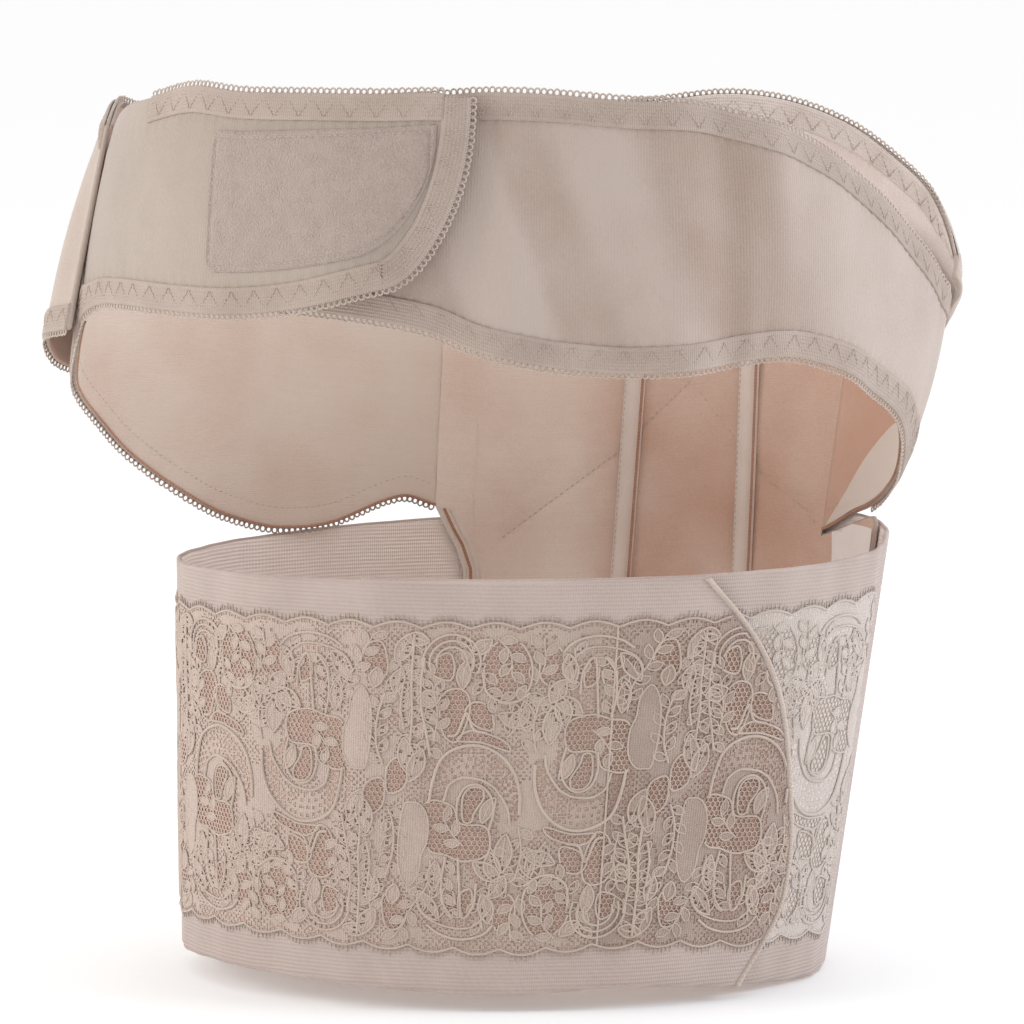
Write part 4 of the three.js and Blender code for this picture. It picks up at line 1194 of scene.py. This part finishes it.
def make_panel():
    left_low = line_of(PANEL_LEFT_EDGE)
    upper = line_of(PANEL_TOP_EDGE)
    right_upper = line_of(PANEL_RIGHT_EDGE)
    right_foot = PANEL_RIGHT_EDGE[0][0]
    angles = np.concatenate([
        np.linspace(PANEL_LEFT, PANEL_FOOT_LEFT, PANEL_SIDE_COLUMNS)[:-1],
        np.linspace(PANEL_FOOT_LEFT, right_foot + 0.05, PANEL_COLUMNS),
        np.linspace(right_foot, 7, PANEL_SIDE_COLUMNS)[:-1],
        np.linspace(7, 6.4, 5),
    ])
    low = np.where(angles > PANEL_FOOT_LEFT, left_low(angles), PANEL_FOOT) + HALF
    top = np.where(angles > right_foot, upper(angles), right_upper(angles)) - HALF
    z2 = mix(top[:, None], low[:, None], np.linspace(0, 1, PANEL_ROWS))
    a2 = np.broadcast_to(angles[:, None], z2.shape)
    p, n = hoop_place(a2, z2, PANEL_INSET + panel_relief(a2, z2))
    joined = Joined()
    shell(joined, p, n, HALF, np.stack([np.radians(a2) * HOOP_HALF_WIDTH, z2], axis=-1))
    cloth = joined.piece("back_panel_cloth", [brushed, panel_lining], "brushed_cloth", "back_panel")

    # Chevron stitches, the bound left edge with its brown hem, and the pale turned-in right foot
    joined = Joined()
    fine = np.linspace(0, len(CHEVRON) - 1, 400)
    at = np.interp(fine, np.arange(len(CHEVRON)), chevron_angle)
    z = np.interp(fine, np.arange(len(CHEVRON)), chevron_z)
    q, m = hoop_place(at, z, PANEL_INSET + panel_relief(at, z))
    dashes(joined, q - m * (HALF + CHEVRON_LIFT), -m, CHEVRON_STITCH, 0)
    z = np.linspace(PANEL_LEFT_EDGE[0][1] - 1, EDGE_LINES_FOOT, 120)
    at = np.interp(-z, [-row[1] for row in PANEL_LEFT_EDGE], [row[0] for row in PANEL_LEFT_EDGE])
    for inwards, width, slot in EDGE_LINES:
        q, m = hoop_place(at - inwards, z, PANEL_INSET - ON_CLOTH)
        ribbon(joined, q, m, width, EDGE_LINE_HEIGHT, slot)
    trimming = joined.piece("panel_stitching", [thread, hem_and_shadow, pale_and_painted_light], "casing_web")
    joined = Joined()
    edge = line_of(FOOT_EDGE)
    foot_angle = np.linspace(0, 1, 40)
    z2 = np.linspace(FOOT_EDGE[0][0], FOOT_EDGE[-1][0], 30) * np.ones((len(foot_angle), 1))
    a2 = mix(edge(z2), FOOT_RIGHT, foot_angle[:, None])
    z2 = np.minimum(z2, right_upper(a2) - FOOT_BELOW_EDGE)
    p2, _ = hoop_place(a2, z2, PANEL_INSET - HALF - FOOT_LIFT)
    joined.grid(p2, np.stack([np.radians(a2) * HOOP_HALF_WIDTH, z2], axis=-1))
    foot = joined.piece("panel_foot_facing", [pale_foot], "brushed_cloth")
    pieces = [trimming, foot, *[make_casing(*row) for row in CASINGS]]


# Casing: a flat tape with a rounded ridge over the bone, sewn along both sides
# A dark painted shadow line runs on its right
def make_casing(name, upper, lower, start, stop):
    share = np.linspace(0, 1, CASING_ROWS)
    across = np.linspace(-0.5, 0.5, CASING_COLUMNS) * CASING_WIDTH
    z = mix(start, stop, share)
    at = mix(upper, lower, share)
    speed = np.linalg.norm(hoop(at + STEP, z, PANEL_INSET) - hoop(at - STEP, z, PANEL_INSET), axis=1)
    a2 = at[:, None] + across * (2 * STEP / speed[:, None])
    z2 = np.broadcast_to(z[:, None], a2.shape)
    p, n = hoop_place(a2, z2, PANEL_INSET)
    ridge = RIDGE_HEIGHT * np.sqrt(np.maximum(0, 1 - (across / RIDGE_HALF) ** 2))
    flat_edge = CASING_EDGE * smoothstep(CASING_WIDTH / 2 - np.abs(across), *CASING_SIDE)
    lift = HALF + SEAT / 2 + np.maximum(ridge, flat_edge)
    face = p - n * lift[:, None]
    joined = Joined()
    uvs = np.stack(np.broadcast_arrays(z[:, None], across), axis=-1)
    joined.grid(skirted(face, p - n * HALF), skirted(uvs, uvs))
    for column in (2, -3):
        dashes(joined, face[:, column] - n[:, column] * SEWN_LIFT, -n[:, column], CASING_STITCH, 1)
    # Painted shadow line on the casing's right
    ribbon(joined, face[:, 3] - n[:, 3] * CASING_SHADOW_LIFT, n[:, 3], *CASING_SHADOW_LINE, 2)
    return joined.piece(name + "_casing", [casing, thread, hem_and_shadow], "casing_web", name)


def make_right_wing():
    s = np.linspace(right_start, right_stop, RIGHT_WING_COLUMNS)
    faces = [front_cloth_painted_folds, right_lining]
    cloth, area = wing("right_wing_cloth", "right_wing", right, s, np.ones_like(s), faces)
    path = edge_path(right, right.knots[RIGHT_SIDE], right_stop, 0)
    top = trim("right_top_trim", "right_top_tape", right, path, top_inner(right, path), HALF)
    path = edge_path(right, right.knots[RIGHT_RIM], right_stop, 1)
    lower = trim("right_lower_trim", "right_lower_tape", right, path, low_inner(right, path), HALF)
    hem_shadow_piece = hem_shadow_line("right_hem_shadow", right, right_start, right.knots[RIGHT_SIDE + 3])

    # Pale sheet on the inner face at the right fold: painted light where the cloth turns to the light
    rows = np.interp([row for row, _ in PAINTED_LIGHT_ROWS], np.arange(len(right.knots)), right.knots)
    s = np.linspace(rows[0], rows[-1], 60)
    high = right.height(s)
    upper = np.interp(s, rows, [share for _, share in PAINTED_LIGHT_ROWS])
    v = mix(upper[:, None], (1 - PAINTED_LIGHT_ABOVE_EDGE / high)[:, None], np.linspace(0, 1, 16))
    s2 = np.broadcast_to(s[:, None], v.shape)
    p, n, _, _ = right.place(s2, v)
    joined = Joined()
    joined.grid(p - n * (HALF + PAINTED_LIGHT_LIFT), np.stack([s2, v * high[:, None]], axis=-1))
    painted_light = joined.piece("right_painted_light", [pale_and_painted_light], "brushed_cloth")


# Outer band round the back; its upper tape is folded over the edge
def make_band():
    s = np.linspace(0, band_stop, BAND_COLUMNS)
    faces = [band_front_painted_light, band_back_painted_light]
    cloth, area = wing("outer_band_cloth", "outer_back_band", band, s, np.ones_like(s), faces)
    path = edge_path(band, 0, band_stop - BAND_TOP_SHORT, 0)
    inner = top_inner(band, path)
    turned = inner.copy()
    turn_in = smoothstep(path[:, 0], TURN_IN_FROM, TURN_IN_FULL)
    turn_out = smoothstep(band_stop - BAND_TOP_SHORT - path[:, 0], 0, TURN_OUT_LENGTH)
    turned[:, 1] *= mix(TURN_IN_LEAST, 1, turn_in * turn_out)
    top = trim("band_top_trim", "band_top_tape", band, path, inner, 0.0, turned)
    path = edge_path(band, 0, band_stop - BAND_LOWER_SHORT, 1)
    lower = trim("band_lower_trim", "band_lower_tape", band, path, low_inner(band, path), HALF)


end_angle = curve_of(BELT_END)
belt_top_line = curve_of(BELT_TOP_EDGE)
belt_foot_line = curve_of(BELT_FOOT_EDGE)
meet_left = BELT_MEET - 360 + MEET_GAP


def belt_z(angle, share):
    turned = np.where(angle < -180, angle + 360, angle)
    return mix(belt_top_line(turned), belt_foot_line(turned), share)


def belt_rise(angle):
    return OVERLAP_RISE * smoothstep(angle, OVERLAP_GONE, OVERLAP_FULL)


# Soft upright waves of the stretched elastic
def belt_wave(angle, share):
    turn = np.radians(angle)
    return sum(height * np.sin(turn * waves + lean * share) for height, waves, lean in BELT_WAVES)


def make_belt(name, node, a2, shares, rise):
    s2 = np.broadcast_to(shares, a2.shape)
    z2 = belt_z(a2, s2)
    p, n = hoop_place(a2, z2, rise(a2) + belt_wave(a2, s2))
    joined = Joined()
    shell(joined, p, n, ELASTIC / 2, np.stack([-np.radians(a2) * HOOP_HALF_WIDTH, z2], axis=-1))
    return joined.piece(name, [web, inner_web_painted_light], "elastic_web", node), area_of(p)


# Overlocked binding along the bowed end: a rounded band with slanted thread wraps
def make_binding():
    share = np.linspace(0.005, 0.995, BINDING_ROWS)
    across = np.linspace(0, 1, BINDING_COLUMNS)
    reach = HOOP_HALF_WIDTH * np.radians(end_angle(0.5) - meet_left)
    a2 = mix(end_angle(share)[:, None], meet_left, across * BINDING_WIDTH / reach)
    s2 = np.broadcast_to(share[:, None], a2.shape)
    p, n = hoop_place(a2, belt_z(a2, s2), belt_rise(a2) + belt_wave(a2, s2))
    turns = share[:, None] * BELT_HEIGHT / WRAP_PITCH + across * WRAP_SLANT
    wraps = TAPE + WRAP_DEPTH * np.sin(2 * np.pi * turns)
    lift = ELASTIC / 2 + BINDING_LIFT + wraps * np.sin(np.pi * across) ** BINDING_ROUND
    uvs = np.stack(np.broadcast_arrays(share[:, None] * BELT_HEIGHT, across * BINDING_WIDTH), axis=-1)
    joined = Joined()
    joined.grid(p + n * lift[..., None], uvs)
    return joined.piece("end_overlock", [thread], "ribbed_tape", "end_binding")


def lace_place(u, w, lift, on_top):
    angle = angle_at(u)
    share = LACE_MIDDLE - w / BELT_HEIGHT
    base = belt_rise(angle) if on_top else 0.0
    return hoop_place(angle, belt_z(angle, share), base + belt_wave(angle, share) + ON_BELT + lift)


def lace_edge(u):
    return LACE_HALF + SCALLOP_DEPTH * np.abs(np.sin(np.pi * u / SCALLOP_PITCH))


def on_lace(u, w, on_top):
    angle = angle_at(u)
    inside = np.abs(w) < lace_edge(u)
    if on_top:
        start = end_angle(np.clip(LACE_MIDDLE - w / BELT_HEIGHT, 0, 1)) - BINDING_ANGLE
        return inside & (angle < start) & (angle > LACE_LEFT_STOP)
    return inside & (angle < LACE_RIGHT_FROM) & (angle > LACE_RIGHT_TO)


# Axis that turns steadily from its heading by its hook, and the width directions along it
def axis(x, y, length, heading, hook, shares):
    fine = np.linspace(0, 1, 200)
    turn = np.radians(heading + hook * fine * fine)
    step = length / (len(fine) - 1)
    px = x + np.concatenate([[0], np.cumsum(np.cos(turn[:-1]))]) * step
    py = y + np.concatenate([[0], np.cumsum(np.sin(turn[:-1]))]) * step
    at = np.stack([np.interp(shares, fine, px), np.interp(shares, fine, py)], axis=1)
    turned = np.interp(shares, fine, turn)
    return at, np.stack([-np.sin(turned), np.cos(turned)], axis=1)


def outline(at, normal, half):
    return np.concatenate([at + normal * half[:, None], (at - normal * half[:, None])[::-1]])


# Pointed leaf and its vein
def leaf(x, y, length, width, heading, hook, count=LEAF_POINTS):
    a = np.linspace(0, 1, count)
    at, normal = axis(x, y, length, heading, hook, a)
    return outline(at, normal, width / 2 * np.sin(np.pi * a) ** LEAF_POINT), at[1:-3]


# Rounded line through points, open or closed
def rounded(points, closed=False):
    p = np.array(points, float)
    if closed:
        p = np.concatenate([p[-1:], p, p[:2]])
    else:
        p = np.concatenate([2 * p[:1] - p[1:2], p, 2 * p[-1:] - p[-2:-1]])
    t = np.linspace(0, 1, 7)[:-1, None]
    runs = []
    for a, b, c, d in zip(p, p[1:], p[2:], p[3:]):
        runs.append(b + 0.5 * t * (c - a + t * (2 * a - 5 * b + 4 * c - d + t * (3 * b - a - 3 * c + d))))
    return np.concatenate(runs if closed else [*runs, p[-2:-1]])


def spaced(path, pitch):
    along = lengths_of(path)
    return at_lengths(path, along, np.arange(pitch / 2, along[-1], pitch))


def looped(shape):
    return np.concatenate([shape, shape[:1]])


# One upright set of the lace's motifs: filled shapes, cords with their radius, eyelets and smaller dots
class MotifSet:
    def __init__(self):
        self.shapes = []
        self.cords = []
        self.eyelets = []
        self.dots = []
        self.arch()
        self.closed(rounded(LONG_LEAF, True), "smooth", STEM_CORD)
        for x, y, length, width, heading, hook in LEAVES:
            shape, vein = leaf(x, y, length, width, heading, hook)
            around, _ = leaf(x, y, length, width + DOTS_PAST_LEAF, heading, hook)
            self.closed(shape, "raised", LEAF_CORD)
            self.cords.append((vein, VEIN_CORD))
            self.dots.append(spaced(looped(around), DOT_PITCH))
        for points in [*[points for points, _ in LEAFY_CORDS], *STEMS]:
            self.foliage(rounded(points))
        self.pockets()
        for points, radius in PLAIN_CORDS + LEAFY_CORDS:
            self.cords.append((rounded(points), radius))
            self.dots.append(spaced(rounded(points) + DOTS_BESIDE_CORD, DOT_PITCH))
        self.eyelets += [spaced(rounded(points), EYELET_PITCH) for points in EYELET_ROWS]
        turn = np.radians(np.linspace(*ROSETTE_ARC, 40))
        circle = np.stack([np.cos(turn), np.sin(turn)], axis=1)
        self.cords += [(ROSETTE + circle * radius, ROSETTE_CORD) for radius in ROSETTE_RADII]
        self.eyelets.append(spaced(ROSETTE + circle * ROSETTE_EYELETS, EYELET_PITCH))

    def closed(self, shape, filling, radius):
        self.shapes.append((shape, filling))
        self.cords.append((looped(shape), radius))

    # Small leaves on both sides of a stem
    def foliage(self, path):
        self.cords.append((path, STEM_CORD))
        at = spaced(path, FOLIAGE_PITCH)
        way = np.degrees(np.arctan2(*np.gradient(at, axis=0).T[::-1]))
        for k, (place, heading) in enumerate(zip(at, way)):
            side = 1 if k % 2 == 0 else -1
            turned = heading + side * SMALL_LEAF_SPREAD
            shape, _ = leaf(*place, *SMALL_LEAF, turned, -side * SMALL_LEAF_HOOK, SMALL_LEAF_POINTS)
            self.closed(shape, "raised", SMALL_LEAF_CORD)
            self.eyelets.append(place[None] + unit(shape[4:5] - place) * EYELET_REACH)

    # Net pockets, which the leaves partly cover
    def pockets(self):
        leaves = list(self.shapes)
        for points in POCKETS:
            middle = np.mean(points, axis=0)
            shape = middle + (rounded(points, True) - middle) * POCKET_GROWTH
            self.shapes.insert(0, (shape, "net"))
            path = looped(shape)
            covered = np.zeros(len(path), bool)
            for cover, _ in leaves:
                covered[inside_of(cover, path[:, 0], path[:, 1])] = True
            self.cords += [(path[run], LEAF_CORD) for run in runs_of(~covered) if len(run) > 2]

    # Arched band with rows of eyelets
    def arch(self):
        outer = rounded(ARCH_OUTER)
        inner = rounded(ARCH_INNER)
        self.cords += [(outer, ARCH_CORD), (inner, ARCH_INNER_CORD)]
        for share in ARCH_EYELETS:
            self.eyelets.append(spaced(mix(outer, inner, share), EYELET_PITCH + share))


# Patches of small holes in the flat clothwork between the motifs
def openwork(shapes, low, high):
    us = np.arange(low, high, OPEN_PITCH)
    ws = np.arange(-LACE_HALF, LACE_HALF, OPEN_PITCH / 2)
    u, w = np.meshgrid(us, ws, indexing="ij")
    u[:, 1::2] += OPEN_PITCH / 2
    turn = 2 * np.pi * u / LACE_REPEAT
    rise = 2 * np.pi * w / LACE_REPEAT
    open_here = np.sin(4 * turn + rise) + np.sin(3 * rise - turn) > OPEN_ABOVE
    spots = np.stack([u[open_here], w[open_here]], axis=1)
    return spots[filling_at(shapes, spots[:, 0], spots[:, 1]) == FLAT]


# Copies of the set along the lace, every other one turned half round
def lace_layout(low, high, on_top):
    motifs = MotifSet()
    shapes = []
    cords = []
    eyelets = []
    dots = []
    half = LACE_REPEAT / 2
    for k in range(math.floor((low - LACE_PHASE) / half) - 1, math.ceil((high - LACE_PHASE) / half) + 2):
        middle = np.array([LACE_PHASE + k * half, 0.0])
        sign = np.array([-1, 1]) if k % 2 == 0 else np.array([1, -1])
        shapes += [(middle + sign * shape, filling) for shape, filling in motifs.shapes]
        cords += [(middle + sign * path, radius) for path, radius in motifs.cords]
        eyelets += [middle + sign * spots for spots in motifs.eyelets]
        dots += [middle + sign * spots for spots in motifs.dots]
    u = np.arange(low, high, EDGE_CORD_STEP)
    for side in (-1, 1):
        cords.append((np.stack([u, side * (lace_edge(u) - EDGE_CORD_INSET)], axis=1), EDGE_CORD))
        dots.append(spaced(np.stack([u, side * (lace_edge(u) - EDGE_DOT_INSET)], axis=1), EDGE_DOT_PITCH))
    if on_top:
        dots.append(openwork(shapes, low, high))
    spots = np.concatenate(eyelets + dots)
    sizes = np.concatenate([np.full(sum(map(len, eyelets)), EYELET), np.full(sum(map(len, dots)), DOT)])
    clear = np.ones(len(spots), bool)
    for shape, filling in shapes:
        if filling == "smooth":
            clear[inside_of(shape, spots[:, 0], spots[:, 1])] = False
    return shapes, cords, spots[clear], sizes[clear]


def inside_of(shape, u, w):
    low = shape.min(axis=0)
    high = shape.max(axis=0)
    near = np.nonzero((u > low[0]) & (u < high[0]) & (w > low[1]) & (w < high[1]))[0]
    if len(near) == 0:
        return near
    x = u[near][:, None]
    y = w[near][:, None]
    after = np.roll(shape, -1, axis=0)
    rise = after[:, 1] - shape[:, 1]
    slope = (after[:, 0] - shape[:, 0]) / np.where(rise == 0, 1e-9, rise)
    crosses = (shape[:, 1] > y) != (after[:, 1] > y)
    hits = crosses & (x < shape[:, 0] + (y - shape[:, 1]) * slope)
    return near[hits.sum(axis=1) % 2 == 1]


def filling_at(shapes, u, w):
    code = np.full(len(u), FLAT)
    for shape, filling in shapes:
        code[inside_of(shape, u, w)] = NET if filling == "net" else RAISED
    return code


def lace_threads(joined, ends, lift, end_lift, radius, on_top, sides=3):
    a, n = lace_place(ends[:, 0, 0], ends[:, 0, 1], lift, on_top)
    b, _ = lace_place(ends[:, 1, 0], ends[:, 1, 1], end_lift, on_top)
    side = np.cross(n, unit(b - a)) * radius
    sideways = np.stack([side, side], axis=1)
    upwards = np.stack([n, n], axis=1) * radius
    joined.tubes(np.stack([a, b], axis=1), sideways, upwards, sides)


# Dark ground under the holes: partly the pinkish layer under the lace, partly painted shade in the holes
def lace_ground(name, node, low, high, on_top):
    u = np.arange(low, high, GROUND_STEP)
    u2 = np.broadcast_to(u[:, None], (len(u), GROUND_ROWS))
    w2 = (lace_edge(u)[:, None] - LACE_RIM) * np.linspace(-1, 1, GROUND_ROWS)
    keep = on_lace(u2, w2, on_top)
    p, _ = lace_place(u2, w2, GROUND_LIFT if on_top else PALE_GROUND_LIFT, on_top)
    quads = squares(np.arange(u2.size).reshape(u2.shape))
    whole = squares(keep).all(axis=-1)
    joined = Joined()
    joined.add(p, quads[whole], np.stack([u2, w2], axis=-1))
    area = float(whole.sum() * GROUND_STEP * 2 * LACE_HALF / (GROUND_ROWS - 1)) * MM * MM
    return joined.piece(name + "_ground", [ground_and_hole_shade if on_top else pale_ground], "lace_net", node), area


# Six-sided net in the pockets
def lace_net(name, shapes, low, high, on_top):
    rows = int(2 * LACE_HALF / NET_ROW) + 6
    columns = int((high - low) / NET_PITCH) + 3
    r, c = np.meshgrid(np.arange(rows), np.arange(columns), indexing="ij")
    middle_u = low + (c + 0.5 * (r % 2)) * NET_PITCH
    middle_w = -LACE_HALF - 4 + r * NET_ROW
    corner = NET_PITCH / math.sqrt(3)
    edges = []
    for k in range(3):
        ends = []
        for turn in (math.radians(90 + 60 * k), math.radians(150 + 60 * k)):
            end_u = middle_u + corner * math.cos(turn)
            end_w = middle_w + corner * math.sin(turn)
            ends.append(np.stack([end_u, end_w], axis=-1))
        edges.append(np.stack(ends, axis=-2).reshape(-1, 2, 2))
    edges = np.concatenate(edges)
    middle = edges.mean(axis=1)
    good = filling_at(shapes, middle[:, 0], middle[:, 1]) == NET
    good &= on_lace(middle[:, 0], middle[:, 1], on_top)
    joined = Joined()
    lace_threads(joined, edges[good], NET_LIFT, NET_LIFT, NET_THREAD, on_top)
    return joined.piece(name + "_net", [net if on_top else pale_cord], "lace_net")


# Dense clothwork, higher in the leaves, with the eyelets and dots left open
def lace_clothwork(name, shapes, eyelets, sizes, low, high, on_top):
    us = np.arange(low, high, CELL)
    ws = np.arange(-LACE_HALF - SCALLOP_DEPTH, LACE_HALF + SCALLOP_DEPTH, CELL)
    cu, cw = np.meshgrid(us, ws, indexing="ij")
    code = filling_at(shapes, cu.ravel(), cw.ravel()).reshape(cu.shape)
    at = np.round((eyelets - [low, ws[0]]) / CELL).astype(int)
    for du in (-1, 0, 1):
        for dw in (-1, 0, 1):
            i = np.clip(at[:, 0] + du, 0, len(us) - 1)
            j = np.clip(at[:, 1] + dw, 0, len(ws) - 1)
            near = np.hypot(us[i] - eyelets[:, 0], ws[j] - eyelets[:, 1]) < sizes
            code[i[near], j[near]] = NET
    iu, iw = np.nonzero((code != NET) & on_lace(cu, cw, on_top))
    corner_u = np.stack([us[iu] + d * CELL / 2 for d in (-1, 1, 1, -1)], axis=1)
    corner_w = np.stack([ws[iw] + d * CELL / 2 for d in (-1, -1, 1, 1)], axis=1)
    keys = np.round(np.stack([corner_u.ravel() - low, corner_w.ravel()], axis=1) / (CELL / 2)).astype(int)
    _, first, index = np.unique(keys, axis=0, return_index=True, return_inverse=True)
    at_u = corner_u.ravel()[first]
    at_w = corner_w.ravel()[first]
    raised = filling_at(shapes, at_u, at_w) == RAISED
    bumps = CLOTHWORK_BUMPS * np.sin(at_u * 5.3) * np.sin(at_w * 4.1)
    p, _ = lace_place(at_u, at_w, CLOTHWORK_LIFT + RAISED_LIFT * raised + bumps, on_top)
    joined = Joined()
    joined.add(p, index.reshape(-1, 4), np.stack([at_u, at_w], axis=-1))
    return joined.piece(name + "_clothwork", [toile if on_top else pale_toile], "lace_net")


# Raised cords round every motif and along the scallops, and a fringe of short threads
def lace_cords(name, cords, low, high, on_top):
    joined = Joined()
    for path, radius in cords:
        keep = on_lace(path[:, 0], path[:, 1], on_top)
        for run in runs_of(keep):
            if len(run) < 2:
                continue
            p, n = lace_place(path[run, 0], path[run, 1], CORD_LIFT, on_top)
            way = unit(np.gradient(p, axis=0))
            joined.tubes(p[None], np.cross(n, way)[None] * radius, n[None] * radius, 4, half=True)
    u = np.arange(low, high, FRINGE_PITCH)
    for side in (-1, 1):
        root = np.stack([u, side * (lace_edge(u) - LACE_RIM)], axis=1)
        reach = lace_edge(u) + FRINGE_LENGTH + FRINGE_UNEVEN * np.sin(u * 1.9)
        tip = np.stack([u + FRINGE_SWAY * np.sin(u * 2.7), side * reach], axis=1)
        good = on_lace(root[:, 0], root[:, 1] * 0.99, on_top)
        lace_threads(joined, np.stack([root, tip], axis=1)[good], 0.0, 0.1 - SEAT, FRINGE_RADIUS, on_top, 4)
    return joined.piece(name + "_cords", [cord if on_top else pale_cord], "lace_net")


def make_lace(name, low, high, on_top):
    shapes, cords, eyelets, sizes = lace_layout(low, high, on_top)
    base, area = lace_ground(name, name, low, high, on_top)
    pieces = [
        lace_net(name, shapes, low, high, on_top),
        lace_clothwork(name, shapes, eyelets, sizes, low, high, on_top),
        lace_cords(name, cords, low, high, on_top),
    ]


# Stitched seam across the lace where its second layer starts
def make_lace_seam():
    joined = Joined()
    w = np.linspace(-LACE_HALF, LACE_HALF, 200)
    p, n = lace_place(seam_u + LACE_SEAM_SLANT * w, w, LACE_SEAM_LIFT, True)
    ribbon(joined, p, n, *LACE_SEAM_RIBBON)
    dashes(joined, p + n * LACE_SEAM_SEWN, n, LACE_SEAM_STITCH, 0)
    return joined.piece("lace_seam", [cord], "lace_net")


def make_lower_belt():
    shares = np.linspace(HALF / BELT_HEIGHT, 1 - HALF / BELT_HEIGHT, BELT_ROWS)
    angles = mix(end_angle(shares)[None], meet_left, np.linspace(0, 1, LEFT_BELT_COLUMNS)[:, None])
    left_belt, left_area = make_belt("lower_belt_left_web", "lower_belt_left", angles, shares, belt_rise)
    angles = np.linspace(BELT_MEET - MEET_GAP, BELT_TUCK, RIGHT_BELT_COLUMNS)[:, None]
    angles = angles * np.ones((1, len(shares)))
    level = np.zeros_like
    right_belt, right_area = make_belt("lower_belt_right_web", "lower_belt_right", angles, shares, level)
    binding = make_binding()
    make_lace("lace_left", u_at(LACE_LEFT_FROM), u_at(LACE_LEFT_STOP), True)
    make_lace("lace_right", u_at(LACE_RIGHT_FROM), u_at(LACE_RIGHT_TO), False)
    make_lace_seam()


def make_floor():
    low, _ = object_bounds()
    level = min(low.z, cad_low.z) - FLOOR_GAP
    mesh = bpy.data.meshes.new("floor")
    half = FLOOR_HALF
    corners = [(-half, -half), (half, -half), (half, half), (-half, half)]
    mesh.from_pydata([(x, y, level) for x, y in corners], [], [(0, 1, 2, 3)])
    white = bpy.data.materials.new("floor_white")
    white.use_nodes = True
    shader = white.node_tree.nodes["Principled BSDF"]
    shader.inputs["Base Color"].default_value = FLOOR_WHITE
    shader.inputs["Roughness"].default_value = FLOOR_ROUGHNESS
    mesh.materials.append(white)
    floor = bpy.data.objects.new("floor", mesh)
    bpy.context.scene.collection.objects.link(floor)


# Pale studio all round, brighter from the sides and from behind than from the front
def make_world():
    world = bpy.data.worlds.new("studio")
    world.use_nodes = True
    nodes = world.node_tree.nodes
    link = world.node_tree.links.new
    direction = nodes.new("ShaderNodeTexCoord")
    axes = nodes.new("ShaderNodeSeparateXYZ")
    link(direction.outputs["Generated"], axes.inputs[0])
    sides = nodes.new("ShaderNodeMath")
    sides.operation = "ABSOLUTE"
    link(axes.outputs["X"], sides.inputs[0])
    base = nodes.new("ShaderNodeValue")
    base.outputs[0].default_value = ALL_ROUND_LIGHT
    strength = base.outputs[0]
    parts = [
        (sides.outputs[0], SIDE_LIGHT), (axes.outputs["Y"], BACK_LIGHT), (axes.outputs["Z"], TOP_LIGHT),
    ]
    for part, amount in parts:
        added = nodes.new("ShaderNodeMath")
        added.operation = "MULTIPLY_ADD"
        link(part, added.inputs[0])
        added.inputs[1].default_value = amount
        link(strength, added.inputs[2])
        strength = added.outputs[0]
    link(strength, nodes["Background"].inputs["Strength"])
    nodes["Background"].inputs["Color"].default_value = (1, 1, 1, 1)
    bpy.context.scene.world = world


def softbox(name, place, size, power, colour):
    data = bpy.data.lights.new(name, "AREA")
    data.energy = power
    data.size = size
    data.color = colour
    light = bpy.data.objects.new(name, data)
    light.location = place
    light.rotation_mode = "QUATERNION"
    light.rotation_quaternion = (-Vector(place)).to_track_quat("-Z", "Y")
    bpy.context.scene.collection.objects.link(light)


def make_camera():
    data = bpy.data.cameras.new("camera")
    data.sensor_width = SENSOR
    data.lens = SENSOR * FOCAL_PIXELS / PICTURE_PIXELS
    data.clip_end = FAR_CLIP
    camera = bpy.data.objects.new("camera", data)
    camera.location = (0, -DISTANCE * math.cos(ELEVATION), DISTANCE * math.sin(ELEVATION))
    camera.rotation_mode = "QUATERNION"
    camera.rotation_quaternion = (-camera.location).to_track_quat("-Z", "Y")
    bpy.context.scene.collection.objects.link(camera)
    bpy.context.scene.camera = camera


make_left_wing()
make_panel()
make_right_wing()
make_band()
make_lower_belt()
make_floor()
make_world()
for row in SOFTBOXES:
    softbox(*row)
make_camera()
bpy.context.scene.view_settings.view_transform = "Standard"
